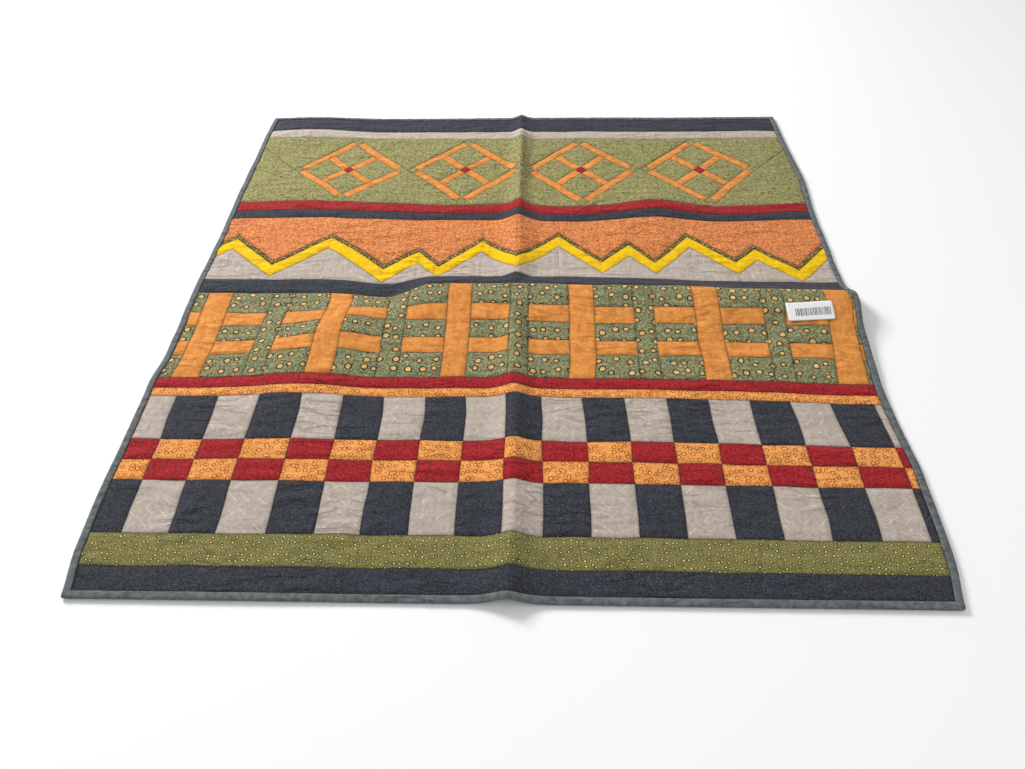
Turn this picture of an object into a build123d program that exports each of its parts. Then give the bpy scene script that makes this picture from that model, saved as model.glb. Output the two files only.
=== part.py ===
from build123d import *

import os
from itertools import pairwise
from math import acos, cos, degrees, radians, sin, sqrt

# A pieced lap quilt laid flat, top side up, with the ridge that was left where it was folded in half.
# Millimetres. X runs across the quilt, Y from its near edge to its far edge, and Z up from the floor.
# The origin is on the floor, under the middle of the ridge. The ridge runs all along Y at X = 0, and
# it is the fold line: every piece that crosses it is in two nodes, one for each half.

# Overall size
QUILT_WIDTH = 1156.0
QUILT_LENGTH = 1216.0
CORNER_RADIUS = 9.0
HALF_WIDTH = QUILT_WIDTH / 2
HALF_LENGTH = QUILT_LENGTH / 2

# The layers, from the floor up: backing cloth, batting, and the pieced top cloth
CLOTH = 0.6
BATTING = 3.6
BATTING_TOP = CLOTH + BATTING
QUILT_TOP = BATTING_TOP + CLOTH

# The folded strip that binds the edge, as wide above as below
BINDING_WIDTH = 11.0
INNER_X = HALF_WIDTH - BINDING_WIDTH
INNER_Y = HALF_LENGTH - BINDING_WIDTH

# The ridge, in section: a wide hollow foot, a straight flank and a tight round crest
RIDGE_HEIGHT = 15.0
RIDGE_SLOPE = 24.0
FOOT_RADIUS = 90.0
CREST_RADIUS = 12.0
FOLD_GAP = 0.3

# A seam leaves this much air between two patches, so that like cloths stay separate pieces
SEAM_GAP = 0.2

# The bands of the top, from the far edge to the near edge, with their depths along Y
BAND_DEPTHS = {
    "far_border": 50.5,
    "far_grey_strip": 31.0,
    "diamonds": 246.0,
    "far_red_strip": 28.0,
    "far_charcoal_strip": 24.5,
    "zigzag": 186.0,
    "middle_charcoal_strip": 38.0,
    "crosses": 208.0,
    "near_red_strip": 23.0,
    "near_orange_strip": 18.0,
    "tall_checkers_far": 87.5,
    "short_checkers_far": 38.1,
    "short_checkers_near": 38.1,
    "tall_checkers_near": 88.3,
    "dotted_olive_strip": 50.5,
    "near_border": 38.5,
}

# Diamond blocks: squares on point, tip to tip, of bars and windows on a five by five grid
DIAMOND_MIDDLES = (-357.5, -114.5, 128.5, 371.5)
DIAMOND_REACH = (DIAMOND_MIDDLES[1] - DIAMOND_MIDDLES[0]) / 2
DIAMOND_SIDE = DIAMOND_REACH * sqrt(2)
DIAMOND_BAR = 17.5
DIAMOND_WINDOW = (DIAMOND_SIDE - 3 * DIAMOND_BAR) / 2

# The zigzag ribbon: where it turns along X, and how far below the band's far seam
ZIGZAG_TURNS = (
    (-INNER_X, 87),
    (-540, 63),
    (-455, 144),
    (-357, 63),
    (-246, 149),
    (-185, 103),
    (-145, 149),
    (-67, 72),
    (0, 134),
    (78, 54),
    (155, 136),
    (208, 83),
    (254, 135),
    (321, 54),
    (400, 128),
    (440, 89),
    (507, 149),
    (INNER_X, 87),
)
RIBBON_DEPTH = 33.0
PIPING_DEPTH = 11.5

# Double crosses: an upright bar with two pairs of arms, and a strip of ground between crosses
FIRST_CROSS = -526.0
CROSS_PITCH = 213.2
CROSS_COUNT = 6
CROSS_BAR = 42.8
CROSS_ARM = 68.6
CROSS_ROWS = (52.0, 33.0, 38.0, 33.0, 52.0)

# Checkers: whole columns from the first seam on, and a part column at each edge
CHECKER_FIRST_SEAM = -523.5
CHECKER_PITCH = 63.5
CHECKER_SEAMS = 18

# A stick-on price label with rounded corners
LABEL_SIZE = (76.0, 36.0)
LABEL_PLACE = (490.0, -66.0)
LABEL_TURN = 4.0
LABEL_CORNER = 2.5
LABEL_THICK = 0.3


def band_edges():
    """Give each band's far and near edge along Y, by name."""
    edges = {}
    far = INNER_Y
    for name, depth in BAND_DEPTHS.items():
        edges[name] = (far, far - depth)
        far -= depth
    return edges


BANDS = band_edges()


# ---- Layers ---------------------------------------------------------------------------------

def ridge_surface(height, end_x):
    """Draw the right half's line at this height above the backing's underside, fold to edge."""
    flank_x = CREST_RADIUS * sin(radians(RIDGE_SLOPE))
    flank_z = RIDGE_HEIGHT - CREST_RADIUS * (1 - cos(radians(RIDGE_SLOPE)))
    foot_z = FOOT_RADIUS * (1 - cos(radians(RIDGE_SLOPE)))
    flank_run = (flank_z - foot_z) * cos(radians(RIDGE_SLOPE)) / sin(radians(RIDGE_SLOPE))
    foot_x = flank_x + flank_run + FOOT_RADIUS * sin(radians(RIDGE_SLOPE))

    crest_radius = CREST_RADIUS + height
    crest_end = 90 - RIDGE_SLOPE
    crest_start = degrees(acos(FOLD_GAP / crest_radius))
    crest = CenterArc((0, RIDGE_HEIGHT - CREST_RADIUS), crest_radius, crest_start, crest_end - crest_start)
    foot_start = -90 - RIDGE_SLOPE
    foot = CenterArc((foot_x, FOOT_RADIUS), FOOT_RADIUS - height, foot_start, RIDGE_SLOPE)
    Line(crest @ 1, foot @ 0)
    flat = Line(foot @ 1, (end_x, height))
    return crest @ 0, flat @ 1


def right_layer(bottom, top, end_x, end_y):
    """Make the right half of a layer that follows the ridge."""
    with BuildPart() as layer:
        with BuildSketch(Plane.XZ):
            with BuildLine():
                low_fold, low_edge = ridge_surface(bottom, end_x)
                high_fold, high_edge = ridge_surface(top, end_x)
                Line(low_fold, high_fold)
                Line(low_edge, high_edge)
            make_face()
        extrude(amount=end_y, both=True)
    return layer.part


def halves(bottom, top, end_x, end_y, corner=0.0):
    """Make both halves of a layer, with the quilt's rounded corners where it has them."""
    with BuildPart() as right:
        add(right_layer(bottom, top, end_x, end_y))
        if corner:
            corners = right.edges().filter_by(Axis.Z).group_by(Axis.X)[-1]
            fillet(corners, radius=corner)
    with BuildPart() as left:
        add(mirror(right.part, about=Plane.YZ, mode=Mode.PRIVATE))
    return {"left": left.part, "right": right.part}


def save(piece, label):
    """Name a finished piece and write it."""
    piece.label = label
    export_step(piece, f"parts/{label}.step")


def build_backing():
    """The one cloth under the quilt, up to the binding's inner line."""
    for side, layer in halves(0, CLOTH, INNER_X, INNER_Y).items():
        save(layer, f"backing_{side}")


def build_batting():
    """The soft filling, which reaches right into the fold of the binding."""
    batting = halves(CLOTH, BATTING_TOP, HALF_WIDTH - CLOTH, HALF_LENGTH - CLOTH, CORNER_RADIUS - CLOTH)
    for side, layer in batting.items():
        save(layer, f"batting_{side}")


def build_binding():
    """The strip folded over the edge: a channel on each side, mitred at the corners."""
    outside = halves(0, QUILT_TOP, HALF_WIDTH, HALF_LENGTH, CORNER_RADIUS)
    inside = halves(CLOTH, BATTING_TOP, HALF_WIDTH - CLOTH, HALF_LENGTH - CLOTH, CORNER_RADIUS - CLOTH)
    beyond_x = HALF_WIDTH + BINDING_WIDTH
    beyond_y = HALF_LENGTH + BINDING_WIDTH
    for side, hand in (("left", -1), ("right", 1)):
        edge_x = hand * beyond_x
        line_x = hand * INNER_X
        runs = {
            "far": ((0, beyond_y), (edge_x, beyond_y), (line_x, INNER_Y), (0, INNER_Y)),
            "near": ((0, -beyond_y), (edge_x, -beyond_y), (line_x, -INNER_Y), (0, -INNER_Y)),
            "side": ((edge_x, beyond_y), (edge_x, -beyond_y), (line_x, -INNER_Y), (line_x, INNER_Y)),
        }
        for run, corners in runs.items():
            with BuildPart() as binding:
                with BuildSketch():
                    draw_patch(*corners)
                extrude(amount=RIDGE_HEIGHT + 2 * QUILT_TOP)
                add(outside[side], mode=Mode.INTERSECT)
                add(inside[side], mode=Mode.SUBTRACT)
            save(binding.part, f"binding_{run}_{side}")


# ---- Patches --------------------------------------------------------------------------------

def draw_patch(*corners):
    """Draw one patch from its seam corners, cut back all round by half the seam's gap."""
    outline = Polygon(*corners, align=None, mode=Mode.PRIVATE)
    patch = offset(outline, amount=-SEAM_GAP / 2, kind=Kind.INTERSECTION, mode=Mode.PRIVATE)
    add(patch)


def draw_block(west, east, far, near):
    """Draw one straight patch between two seams along Y and two along X."""
    draw_patch((west, far), (east, far), (east, near), (west, near))


def draw_strip(band):
    """Draw a strip that runs the whole width between the bindings."""
    draw_block(-INNER_X, INNER_X, *BANDS[band])


def on_point(middle, along, across):
    """Turn a place on a diamond block's own grid, from its near tip, into a place on the quilt."""
    near_tip = sum(BANDS["diamonds"]) / 2 - DIAMOND_REACH
    return (middle + (along - across) / sqrt(2), near_tip + (along + across) / sqrt(2))


def draw_on_point(middle, along, across):
    """Draw one patch of a diamond block from its two spans on the block's grid."""
    corners = ((0, 0), (1, 0), (1, 1), (0, 1))
    draw_patch(*[on_point(middle, along[i], across[j]) for i, j in corners])


DIAMOND_FIRST = (0, DIAMOND_BAR)
DIAMOND_CENTRE = (DIAMOND_BAR + DIAMOND_WINDOW, 2 * DIAMOND_BAR + DIAMOND_WINDOW)
DIAMOND_WINDOWS = (
    (DIAMOND_BAR, DIAMOND_CENTRE[0]),
    (DIAMOND_CENTRE[1], DIAMOND_SIDE - DIAMOND_BAR),
)
DIAMOND_LAST = (DIAMOND_SIDE - DIAMOND_BAR, DIAMOND_SIDE)
DIAMOND_LONG = (DIAMOND_BAR, DIAMOND_SIDE - DIAMOND_BAR)


def draw_diamond_bars():
    """Four frame bars and four inner bars in each block."""
    for middle in DIAMOND_MIDDLES:
        for edge in (DIAMOND_FIRST, DIAMOND_LAST):
            draw_on_point(middle, DIAMOND_LONG, edge)
            draw_on_point(middle, edge, DIAMOND_LONG)
        for window in DIAMOND_WINDOWS:
            draw_on_point(middle, DIAMOND_CENTRE, window)
            draw_on_point(middle, window, DIAMOND_CENTRE)


def draw_diamond_centres():
    """The small square in the middle of each block."""
    for middle in DIAMOND_MIDDLES:
        draw_on_point(middle, DIAMOND_CENTRE, DIAMOND_CENTRE)


def draw_diamond_ground():
    """Windows, corner squares, the triangles between blocks and the pieces at both ends."""
    far, near = BANDS["diamonds"]
    centre_y = (far + near) / 2
    far_tip = centre_y + DIAMOND_REACH
    near_tip = centre_y - DIAMOND_REACH
    for middle in DIAMOND_MIDDLES:
        for along in DIAMOND_WINDOWS:
            for across in DIAMOND_WINDOWS:
                draw_on_point(middle, along, across)
        for along in (DIAMOND_FIRST, DIAMOND_LAST):
            for across in (DIAMOND_FIRST, DIAMOND_LAST):
                draw_on_point(middle, along, across)
    for west, east in pairwise(DIAMOND_MIDDLES):
        tip = ((west + east) / 2, centre_y)
        draw_patch((west, far), (east, far), (east, far_tip), tip, (west, far_tip))
        draw_patch((west, near), (west, near_tip), tip, (east, near_tip), (east, near))
    for middle, hand in ((DIAMOND_MIDDLES[0], -1), (DIAMOND_MIDDLES[-1], 1)):
        edge = hand * INNER_X
        tip = (middle + hand * DIAMOND_REACH, centre_y)
        seam_end = (edge, centre_y + abs(edge - tip[0]))
        draw_patch((edge, far), (middle, far), (middle, far_tip), tip, seam_end)
        draw_patch(seam_end, tip, (middle, near_tip), (middle, near), (edge, near))


def zigzag_columns():
    """Give each stretch of the zigzag: its two ends along X, and the ribbon's upper edge at them."""
    far = BANDS["zigzag"][0]
    for (west, west_drop), (east, east_drop) in pairwise(ZIGZAG_TURNS):
        yield west, east, far - west_drop, far - east_drop


def draw_zigzag_layer(west, east, west_ends, east_ends):
    """Draw one patch of a zigzag column from its far and near ends on both sides."""
    draw_patch((west, west_ends[0]), (east, east_ends[0]), (east, east_ends[1]), (west, west_ends[1]))


def draw_zigzag_sky():
    """The print beyond the zigzag, seamed at every peak and valley."""
    far = BANDS["zigzag"][0]
    for west, east, west_y, east_y in zigzag_columns():
        draw_zigzag_layer(west, east, (far, west_y + PIPING_DEPTH), (far, east_y + PIPING_DEPTH))


def draw_zigzag_piping():
    """The narrow dark line along the ribbon's far edge."""
    for west, east, west_y, east_y in zigzag_columns():
        draw_zigzag_layer(west, east, (west_y + PIPING_DEPTH, west_y), (east_y + PIPING_DEPTH, east_y))


def draw_zigzag_ribbon():
    """The bright zigzag itself."""
    for west, east, west_y, east_y in zigzag_columns():
        draw_zigzag_layer(west, east, (west_y, west_y - RIBBON_DEPTH), (east_y, east_y - RIBBON_DEPTH))


def draw_zigzag_hills():
    """The pale print on the near side of the zigzag."""
    near = BANDS["zigzag"][1]
    for west, east, west_y, east_y in zigzag_columns():
        draw_zigzag_layer(west, east, (west_y - RIBBON_DEPTH, near), (east_y - RIBBON_DEPTH, near))


def cross_middles():
    """Give the place along X of every cross's upright bar."""
    return [FIRST_CROSS + CROSS_PITCH * number for number in range(CROSS_COUNT)]


def cross_rows():
    """Give each row of a cross block: its far and near edge along Y."""
    far = BANDS["crosses"][0]
    for depth in CROSS_ROWS:
        yield far, far - depth
        far -= depth


def cross_sides():
    """Give the spans along X of the two units beside every upright bar, cut off at the binding."""
    for middle in cross_middles():
        yield max(-INNER_X, middle - CROSS_BAR / 2 - CROSS_ARM), middle - CROSS_BAR / 2
        yield middle + CROSS_BAR / 2, min(INNER_X, middle + CROSS_BAR / 2 + CROSS_ARM)


def draw_cross_bars():
    """The upright bars and their arms."""
    far, near = BANDS["crosses"]
    for middle in cross_middles():
        draw_block(middle - CROSS_BAR / 2, middle + CROSS_BAR / 2, far, near)
    rows = list(cross_rows())
    for west, east in cross_sides():
        for arm_row in (rows[1], rows[3]):
            draw_block(west, east, *arm_row)


def draw_cross_ground():
    """The ground above, between and below the arms, and the strips between crosses."""
    rows = list(cross_rows())
    for west, east in cross_sides():
        for ground_row in (rows[0], rows[2], rows[4]):
            draw_block(west, east, *ground_row)
    reach = CROSS_BAR / 2 + CROSS_ARM
    for west, east in pairwise(cross_middles()):
        draw_block(west + reach, east - reach, *BANDS["crosses"])


def draw_checkers(row_parities):
    """Draw every second block of the named checker rows, from the given first column."""
    seams = [CHECKER_FIRST_SEAM + CHECKER_PITCH * number for number in range(CHECKER_SEAMS)]
    columns = list(pairwise([-INNER_X, *seams, INNER_X]))
    for row, first in row_parities.items():
        for west, east in columns[first::2]:
            draw_block(west, east, *BANDS[row])


def draw_checker_grey():
    """The pale tall checkers."""
    draw_checkers({"tall_checkers_far": 0, "tall_checkers_near": 1})


def draw_checker_charcoal():
    """The dark tall checkers."""
    draw_checkers({"tall_checkers_far": 1, "tall_checkers_near": 0})


def draw_checker_red():
    """The red short checkers."""
    draw_checkers({"short_checkers_far": 0, "short_checkers_near": 1})


def draw_checker_orange():
    """The orange short checkers."""
    draw_checkers({"short_checkers_far": 1, "short_checkers_near": 0})


PATCH_GROUPS = {
    "diamond_ground": draw_diamond_ground,
    "diamond_bars": draw_diamond_bars,
    "diamond_centres": draw_diamond_centres,
    "zigzag_sky": draw_zigzag_sky,
    "zigzag_piping": draw_zigzag_piping,
    "zigzag_ribbon": draw_zigzag_ribbon,
    "zigzag_hills": draw_zigzag_hills,
    "cross_bars": draw_cross_bars,
    "cross_ground": draw_cross_ground,
    "checker_grey": draw_checker_grey,
    "checker_charcoal": draw_checker_charcoal,
    "checker_red": draw_checker_red,
    "checker_orange": draw_checker_orange,
}
STRIPS = [name for name in BAND_DEPTHS if name.endswith(("strip", "border"))]


def build_top():
    """Cut every group of patches from the top cloth, on both sides of the fold."""
    top_cloth = halves(BATTING_TOP, QUILT_TOP, INNER_X, INNER_Y)
    for name in [*STRIPS, *PATCH_GROUPS]:
        with BuildSketch() as patches:
            if name in PATCH_GROUPS:
                PATCH_GROUPS[name]()
            else:
                draw_strip(name)
        for side, cloth in top_cloth.items():
            with BuildPart() as group:
                add(patches.sketch)
                extrude(amount=RIDGE_HEIGHT + 2 * QUILT_TOP)
                add(cloth, mode=Mode.INTERSECT)
            save(group.part, f"{name}_{side}")


def build_label():
    """The price label, stuck to the top near the right edge."""
    with BuildPart() as label:
        with BuildSketch(Plane.XY.offset(QUILT_TOP)):
            with Locations(Location((*LABEL_PLACE, 0), LABEL_TURN)):
                RectangleRounded(*LABEL_SIZE, LABEL_CORNER)
        extrude(amount=LABEL_THICK)
    save(label.part, "price_label")


os.makedirs("parts", exist_ok=True)
build_backing()
build_batting()
build_binding()
build_top()
build_label()
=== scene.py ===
"""A pieced lap quilt, laid flat with the ridges and swells of its old folds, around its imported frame."""

import math
from collections import namedtuple
from itertools import pairwise

import bmesh
import bpy
import numpy as np
from bpy.props import FloatProperty, FloatVectorProperty, IntProperty, PointerProperty
from mathutils import Matrix, Vector


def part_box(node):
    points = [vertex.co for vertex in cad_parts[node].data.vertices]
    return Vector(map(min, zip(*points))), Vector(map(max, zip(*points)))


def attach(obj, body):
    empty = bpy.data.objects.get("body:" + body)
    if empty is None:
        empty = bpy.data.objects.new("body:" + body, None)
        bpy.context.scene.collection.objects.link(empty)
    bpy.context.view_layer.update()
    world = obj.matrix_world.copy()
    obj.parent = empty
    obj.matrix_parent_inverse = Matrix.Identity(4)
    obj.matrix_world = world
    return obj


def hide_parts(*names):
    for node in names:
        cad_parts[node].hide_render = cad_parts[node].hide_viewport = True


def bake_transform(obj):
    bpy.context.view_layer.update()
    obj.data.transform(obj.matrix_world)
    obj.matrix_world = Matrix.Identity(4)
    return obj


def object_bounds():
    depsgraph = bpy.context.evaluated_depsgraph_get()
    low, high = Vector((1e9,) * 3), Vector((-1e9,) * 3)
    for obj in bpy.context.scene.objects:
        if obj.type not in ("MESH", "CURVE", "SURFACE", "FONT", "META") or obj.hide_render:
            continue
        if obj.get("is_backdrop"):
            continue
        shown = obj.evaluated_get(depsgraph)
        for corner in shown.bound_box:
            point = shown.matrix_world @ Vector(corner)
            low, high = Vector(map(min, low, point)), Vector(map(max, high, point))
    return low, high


bl_info = {
    "name": "Banded Lap Quilt",
    "version": (1, 0, 0),
    "blender": (4, 5, 0),
    "location": "View3D > Sidebar > Quilt",
    "description": "Makes a pieced and quilted lap quilt around its packed frame",
    "category": "Object",
}

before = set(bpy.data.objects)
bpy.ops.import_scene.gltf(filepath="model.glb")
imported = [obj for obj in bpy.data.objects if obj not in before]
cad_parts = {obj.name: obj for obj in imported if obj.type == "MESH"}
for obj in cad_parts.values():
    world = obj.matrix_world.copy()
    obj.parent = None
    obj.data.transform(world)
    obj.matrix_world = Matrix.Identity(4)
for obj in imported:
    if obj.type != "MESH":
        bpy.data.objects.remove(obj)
CAD_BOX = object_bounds()

MM = 0.001
LEFT, RIGHT = "left_half", "right_half"


# ---- Sizes and colours ----------------------------------------------------------------------

def srgb(red, green, blue):
    """Turn a colour as a paint chart gives it, 0 to 255, into linear light."""
    def linear(value):
        value /= 255
        return value / 12.92 if value <= 0.04045 else ((value + 0.055) / 1.055) ** 2.4
    return tuple(linear(value) for value in (red, green, blue))


def length(name, description, default):
    """A length property in metres."""
    return FloatProperty(name=name, description=description, default=default, min=0.0, unit="LENGTH")


def colour(name, description, red, green, blue):
    """A cloth colour property."""
    return FloatVectorProperty(name=name, description=description, default=srgb(red, green, blue),
                               subtype="COLOR", size=3, min=0.0, max=1.0)


class QuiltSizes(bpy.types.PropertyGroup):
    """Sizes of the quilt's cloth, stitches and relief."""

    mesh_step: length("Mesh step", "Side of a face in the middle of a patch", 3 * MM)
    puff: length("Puff", "Thickness of the quilt in the middle of a patch", 5.2 * MM)
    ditch: length("Ditch", "Thickness of the quilt along a seam", 3.3 * MM)
    puff_reach: length("Puff reach", "How far from a seam the quilt has most of its puff", 4.2 * MM)
    turn_under: length("Turn under", "How far a patch's edge dips into its seam", 1.5 * MM)
    pucker: length("Pucker", "Depth of the small puckers between quilting lines", 2.8 * MM)
    stitch_pitch: length("Stitch pitch", "From one quilting stitch to the next", 3.6 * MM)
    stitch_length: length("Stitch length", "Length of thread that shows in one stitch", 2.3 * MM)
    ridge_height: length("Ridge height", "Lift of the backing under the centre ridge", 14.6 * MM)
    fold_room: length("Fold room", "Most lift together of two places that meet in the fold", 29.4 * MM)
    label_bars: IntProperty(name="Label bars", description="Bars printed on the price label", default=36)


class QuiltColours(bpy.types.PropertyGroup):
    """Ground and print colours of every cloth."""

    charcoal: colour("Charcoal", "Ground of the dark print", 40, 42, 51)
    charcoal_line: colour("Charcoal scroll", "Scrolls of the dark print", 92, 95, 103)
    grey: colour("Grey", "Ground of the pale print", 186, 171, 160)
    grey_dash: colour("Grey dashes", "Dotted dashes of the pale print", 232, 222, 206)
    olive: colour("Olive", "Ground behind the diamonds", 150, 144, 96)
    olive_leaf: colour("Olive leaf", "Dark leaves behind the diamonds", 88, 88, 48)
    tan: colour("Tan", "Bars of the diamonds and crosses", 242, 162, 80)
    tan_deep: colour("Deep tan", "Darker cloud in the bars", 198, 112, 48)
    crimson: colour("Crimson", "Red strips and checkers", 196, 46, 50)
    crimson_deep: colour("Deep crimson", "Darker print on the red", 96, 14, 24)
    coral: colour("Coral", "Ground beyond the zigzag", 255, 166, 98)
    coral_line: colour("Coral scroll", "Rust scrolls beyond the zigzag", 150, 54, 26)
    piping: colour("Piping", "Dark line along the zigzag", 92, 84, 44)
    yellow: colour("Yellow", "The zigzag ribbon", 252, 206, 10)
    yellow_deep: colour("Deep yellow", "Warmer cloud in the ribbon", 242, 182, 8)
    green: colour("Green", "Ground behind the crosses", 134, 146, 110)
    green_line: colour("Green squiggle", "Dark squiggles behind the crosses", 44, 52, 38)
    berry: colour("Berry", "Tan spots behind the crosses", 238, 194, 122)
    berry_ring: colour("Berry ring", "Dark rim of the spots", 44, 30, 18)
    apricot: colour("Apricot", "Ground of the ring print", 255, 173, 92)
    apricot_ring: colour("Apricot ring", "Brown rings of the ring print", 140, 56, 20)
    moss: colour("Moss", "Ground of the near strip", 146, 138, 82)
    moss_dot: colour("Moss dot", "Cream dots of the near strip", 226, 218, 138)
    slate: colour("Slate", "Binding", 116, 121, 122)
    slate_deep: colour("Deep slate", "Darker threads of the binding", 64, 72, 76)
    backing: colour("Backing", "Cloth under the quilt", 70, 76, 82)
    batting: colour("Batting", "Filling", 225, 220, 208)
    thread: colour("Thread", "Quilting thread", 92, 88, 76)
    paper: colour("Paper", "Price label", 244, 244, 242)
    ink: colour("Ink", "Bars on the label", 70, 70, 72)
    floor: colour("Floor", "The pale floor", 252, 252, 252)


def sizes():
    """The scene's sizes."""
    return bpy.context.scene.quilt_sizes


def paint(name):
    """One of the scene's colours, with alpha."""
    return (*getattr(bpy.context.scene.quilt_colours, name), 1.0)


# ---- Layout, as the frame has it ------------------------------------------------------------

SEAM_GAP = 0.2 * MM


def strip_span(name):
    """Far and near seam of a strip that has its own nodes."""
    low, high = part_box(f"{name}_right")
    return high.y + SEAM_GAP / 2, low.y - SEAM_GAP / 2


INNER_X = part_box("far_border_right")[1].x + SEAM_GAP / 2
OUTER_X = CAD_BOX[1][0]
OUTER_Y = CAD_BOX[1][1]
INNER_Y = strip_span("far_border")[0]
CORNER_RADIUS = 4.5 * MM

STRIPS = ("far_border", "far_grey_strip", "far_red_strip", "far_charcoal_strip", "middle_charcoal_strip",
          "near_red_strip", "near_orange_strip", "dotted_olive_strip", "near_border")
SPANS = {name: strip_span(name) for name in STRIPS}
DIAMONDS = (SPANS["far_grey_strip"][1], SPANS["far_red_strip"][0])
ZIGZAG = (SPANS["far_charcoal_strip"][1], SPANS["middle_charcoal_strip"][0])
CROSSES = (SPANS["middle_charcoal_strip"][1], SPANS["near_red_strip"][0])
CHECKERS_FAR = SPANS["near_orange_strip"][1]
CHECKER_DEPTHS = (87.5 * MM, 38.1 * MM, 38.1 * MM, 88.3 * MM)

DIAMOND_MIDDLES = tuple(x * MM for x in (-357.5, -114.5, 128.5, 371.5))
DIAMOND_REACH = (DIAMOND_MIDDLES[1] - DIAMOND_MIDDLES[0]) / 2
DIAMOND_SIDE = DIAMOND_REACH * math.sqrt(2)
DIAMOND_BAR = 17.5 * MM
DIAMOND_WINDOW = (DIAMOND_SIDE - 3 * DIAMOND_BAR) / 2

ZIGZAG_TURNS = (
    (-INNER_X, 87 * MM), (-540 * MM, 63 * MM), (-455 * MM, 144 * MM), (-357 * MM, 63 * MM),
    (-246 * MM, 149 * MM), (-185 * MM, 103 * MM), (-145 * MM, 149 * MM), (-67 * MM, 72 * MM),
    (0.0, 134 * MM), (78 * MM, 54 * MM), (155 * MM, 136 * MM), (208 * MM, 83 * MM),
    (254 * MM, 135 * MM), (321 * MM, 54 * MM), (400 * MM, 128 * MM), (440 * MM, 89 * MM),
    (507 * MM, 149 * MM), (INNER_X, 87 * MM),
)
RIBBON_DEPTH = 33 * MM
PIPING_DEPTH = 11.5 * MM

CROSS_MIDDLES = tuple((-526 + 213.2 * number) * MM for number in range(6))
CROSS_BAR = 42.8 * MM
CROSS_ARM = 68.6 * MM
CROSS_ROWS = tuple(depth * MM for depth in (52, 33, 38, 33, 52))

CHECKER_SEAMS = tuple((-523.5 + 63.5 * number) * MM for number in range(18))


def block(west, east, far, near):
    """Corners of a straight patch."""
    return ((west, far), (east, far), (east, near), (west, near))


def strip_patches(name):
    """The one patch of a strip."""
    return [block(-INNER_X, INNER_X, *SPANS[name])]


def on_point(middle, along, across):
    """Turn a place on a diamond block's own grid into a place on the quilt."""
    near_tip = sum(DIAMONDS) / 2 - DIAMOND_REACH
    return (middle + (along - across) / math.sqrt(2), near_tip + (along + across) / math.sqrt(2))


def diamond_patch(middle, along, across):
    """One patch of a diamond block from its two spans on the block's grid."""
    corners = ((0, 1), (1, 1), (1, 0), (0, 0))
    return tuple(on_point(middle, along[i], across[j]) for i, j in corners)


D_FIRST = (0.0, DIAMOND_BAR)
D_CENTRE = (DIAMOND_BAR + DIAMOND_WINDOW, 2 * DIAMOND_BAR + DIAMOND_WINDOW)
D_WINDOWS = ((DIAMOND_BAR, D_CENTRE[0]), (D_CENTRE[1], DIAMOND_SIDE - DIAMOND_BAR))
D_LAST = (DIAMOND_SIDE - DIAMOND_BAR, DIAMOND_SIDE)
D_LONG = (DIAMOND_BAR, DIAMOND_SIDE - DIAMOND_BAR)


def diamond_bars():
    """Frame bars and inner bars of every block."""
    patches = []
    for middle in DIAMOND_MIDDLES:
        for edge in (D_FIRST, D_LAST):
            patches += [diamond_patch(middle, D_LONG, edge), diamond_patch(middle, edge, D_LONG)]
        for window in D_WINDOWS:
            patches += [diamond_patch(middle, D_CENTRE, window), diamond_patch(middle, window, D_CENTRE)]
    return patches


def diamond_centres():
    """The small square in the middle of every block."""
    return [diamond_patch(middle, D_CENTRE, D_CENTRE) for middle in DIAMOND_MIDDLES]


def diamond_ground():
    """Windows, corner squares, pieces between blocks and pieces at both ends."""
    far, near = DIAMONDS
    centre_y = (far + near) / 2
    far_tip, near_tip = centre_y + DIAMOND_REACH, centre_y - DIAMOND_REACH
    patches = []
    for middle in DIAMOND_MIDDLES:
        for spans in (D_WINDOWS, (D_FIRST, D_LAST)):
            patches += [diamond_patch(middle, along, across) for along in spans for across in spans]
    for west, east in pairwise(DIAMOND_MIDDLES):
        tip = ((west + east) / 2, centre_y)
        patches.append(((west, far), (east, far), (east, far_tip), tip, (west, far_tip)))
        patches.append(((west, near_tip), tip, (east, near_tip), (east, near), (west, near)))
    for middle, hand in ((DIAMOND_MIDDLES[0], -1), (DIAMOND_MIDDLES[-1], 1)):
        edge = hand * INNER_X
        tip = (middle + hand * DIAMOND_REACH, centre_y)
        seam_end = (edge, centre_y + abs(edge - tip[0]))
        outer = [((edge, far), (middle, far), (middle, far_tip), tip, seam_end),
                 (seam_end, (middle, near_tip), (middle, near), (edge, near))]
        patches += [corners if hand < 0 else corners[::-1] for corners in outer]
    return patches


def zigzag_layer(top_drop, depth):
    """Patches of one zigzag layer: how far its far edge is above the ribbon, and its depth along Y."""
    patches = []
    for (west, west_drop), (east, east_drop) in pairwise(ZIGZAG_TURNS):
        west_far = ZIGZAG[0] - west_drop + top_drop
        east_far = ZIGZAG[0] - east_drop + top_drop
        patches.append(((west, west_far), (east, east_far),
                        (east, east_far - depth), (west, west_far - depth)))
    return patches


def zigzag_ribbon():
    """The bright zigzag."""
    return zigzag_layer(0.0, RIBBON_DEPTH)


def zigzag_piping():
    """The narrow dark line along the ribbon's far edge."""
    return zigzag_layer(PIPING_DEPTH, PIPING_DEPTH)


def zigzag_sky():
    """The print beyond the zigzag."""
    far = ZIGZAG[0]
    return [((west[0], far), (east[0], far), east, west)
            for west, east, _, _ in zigzag_layer(PIPING_DEPTH, PIPING_DEPTH)]


def zigzag_hills():
    """The pale print on the near side of the zigzag."""
    near = ZIGZAG[1]
    return [(west, east, (east[0], near), (west[0], near))
            for _, _, east, west in zigzag_layer(0.0, RIBBON_DEPTH)]


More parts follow.
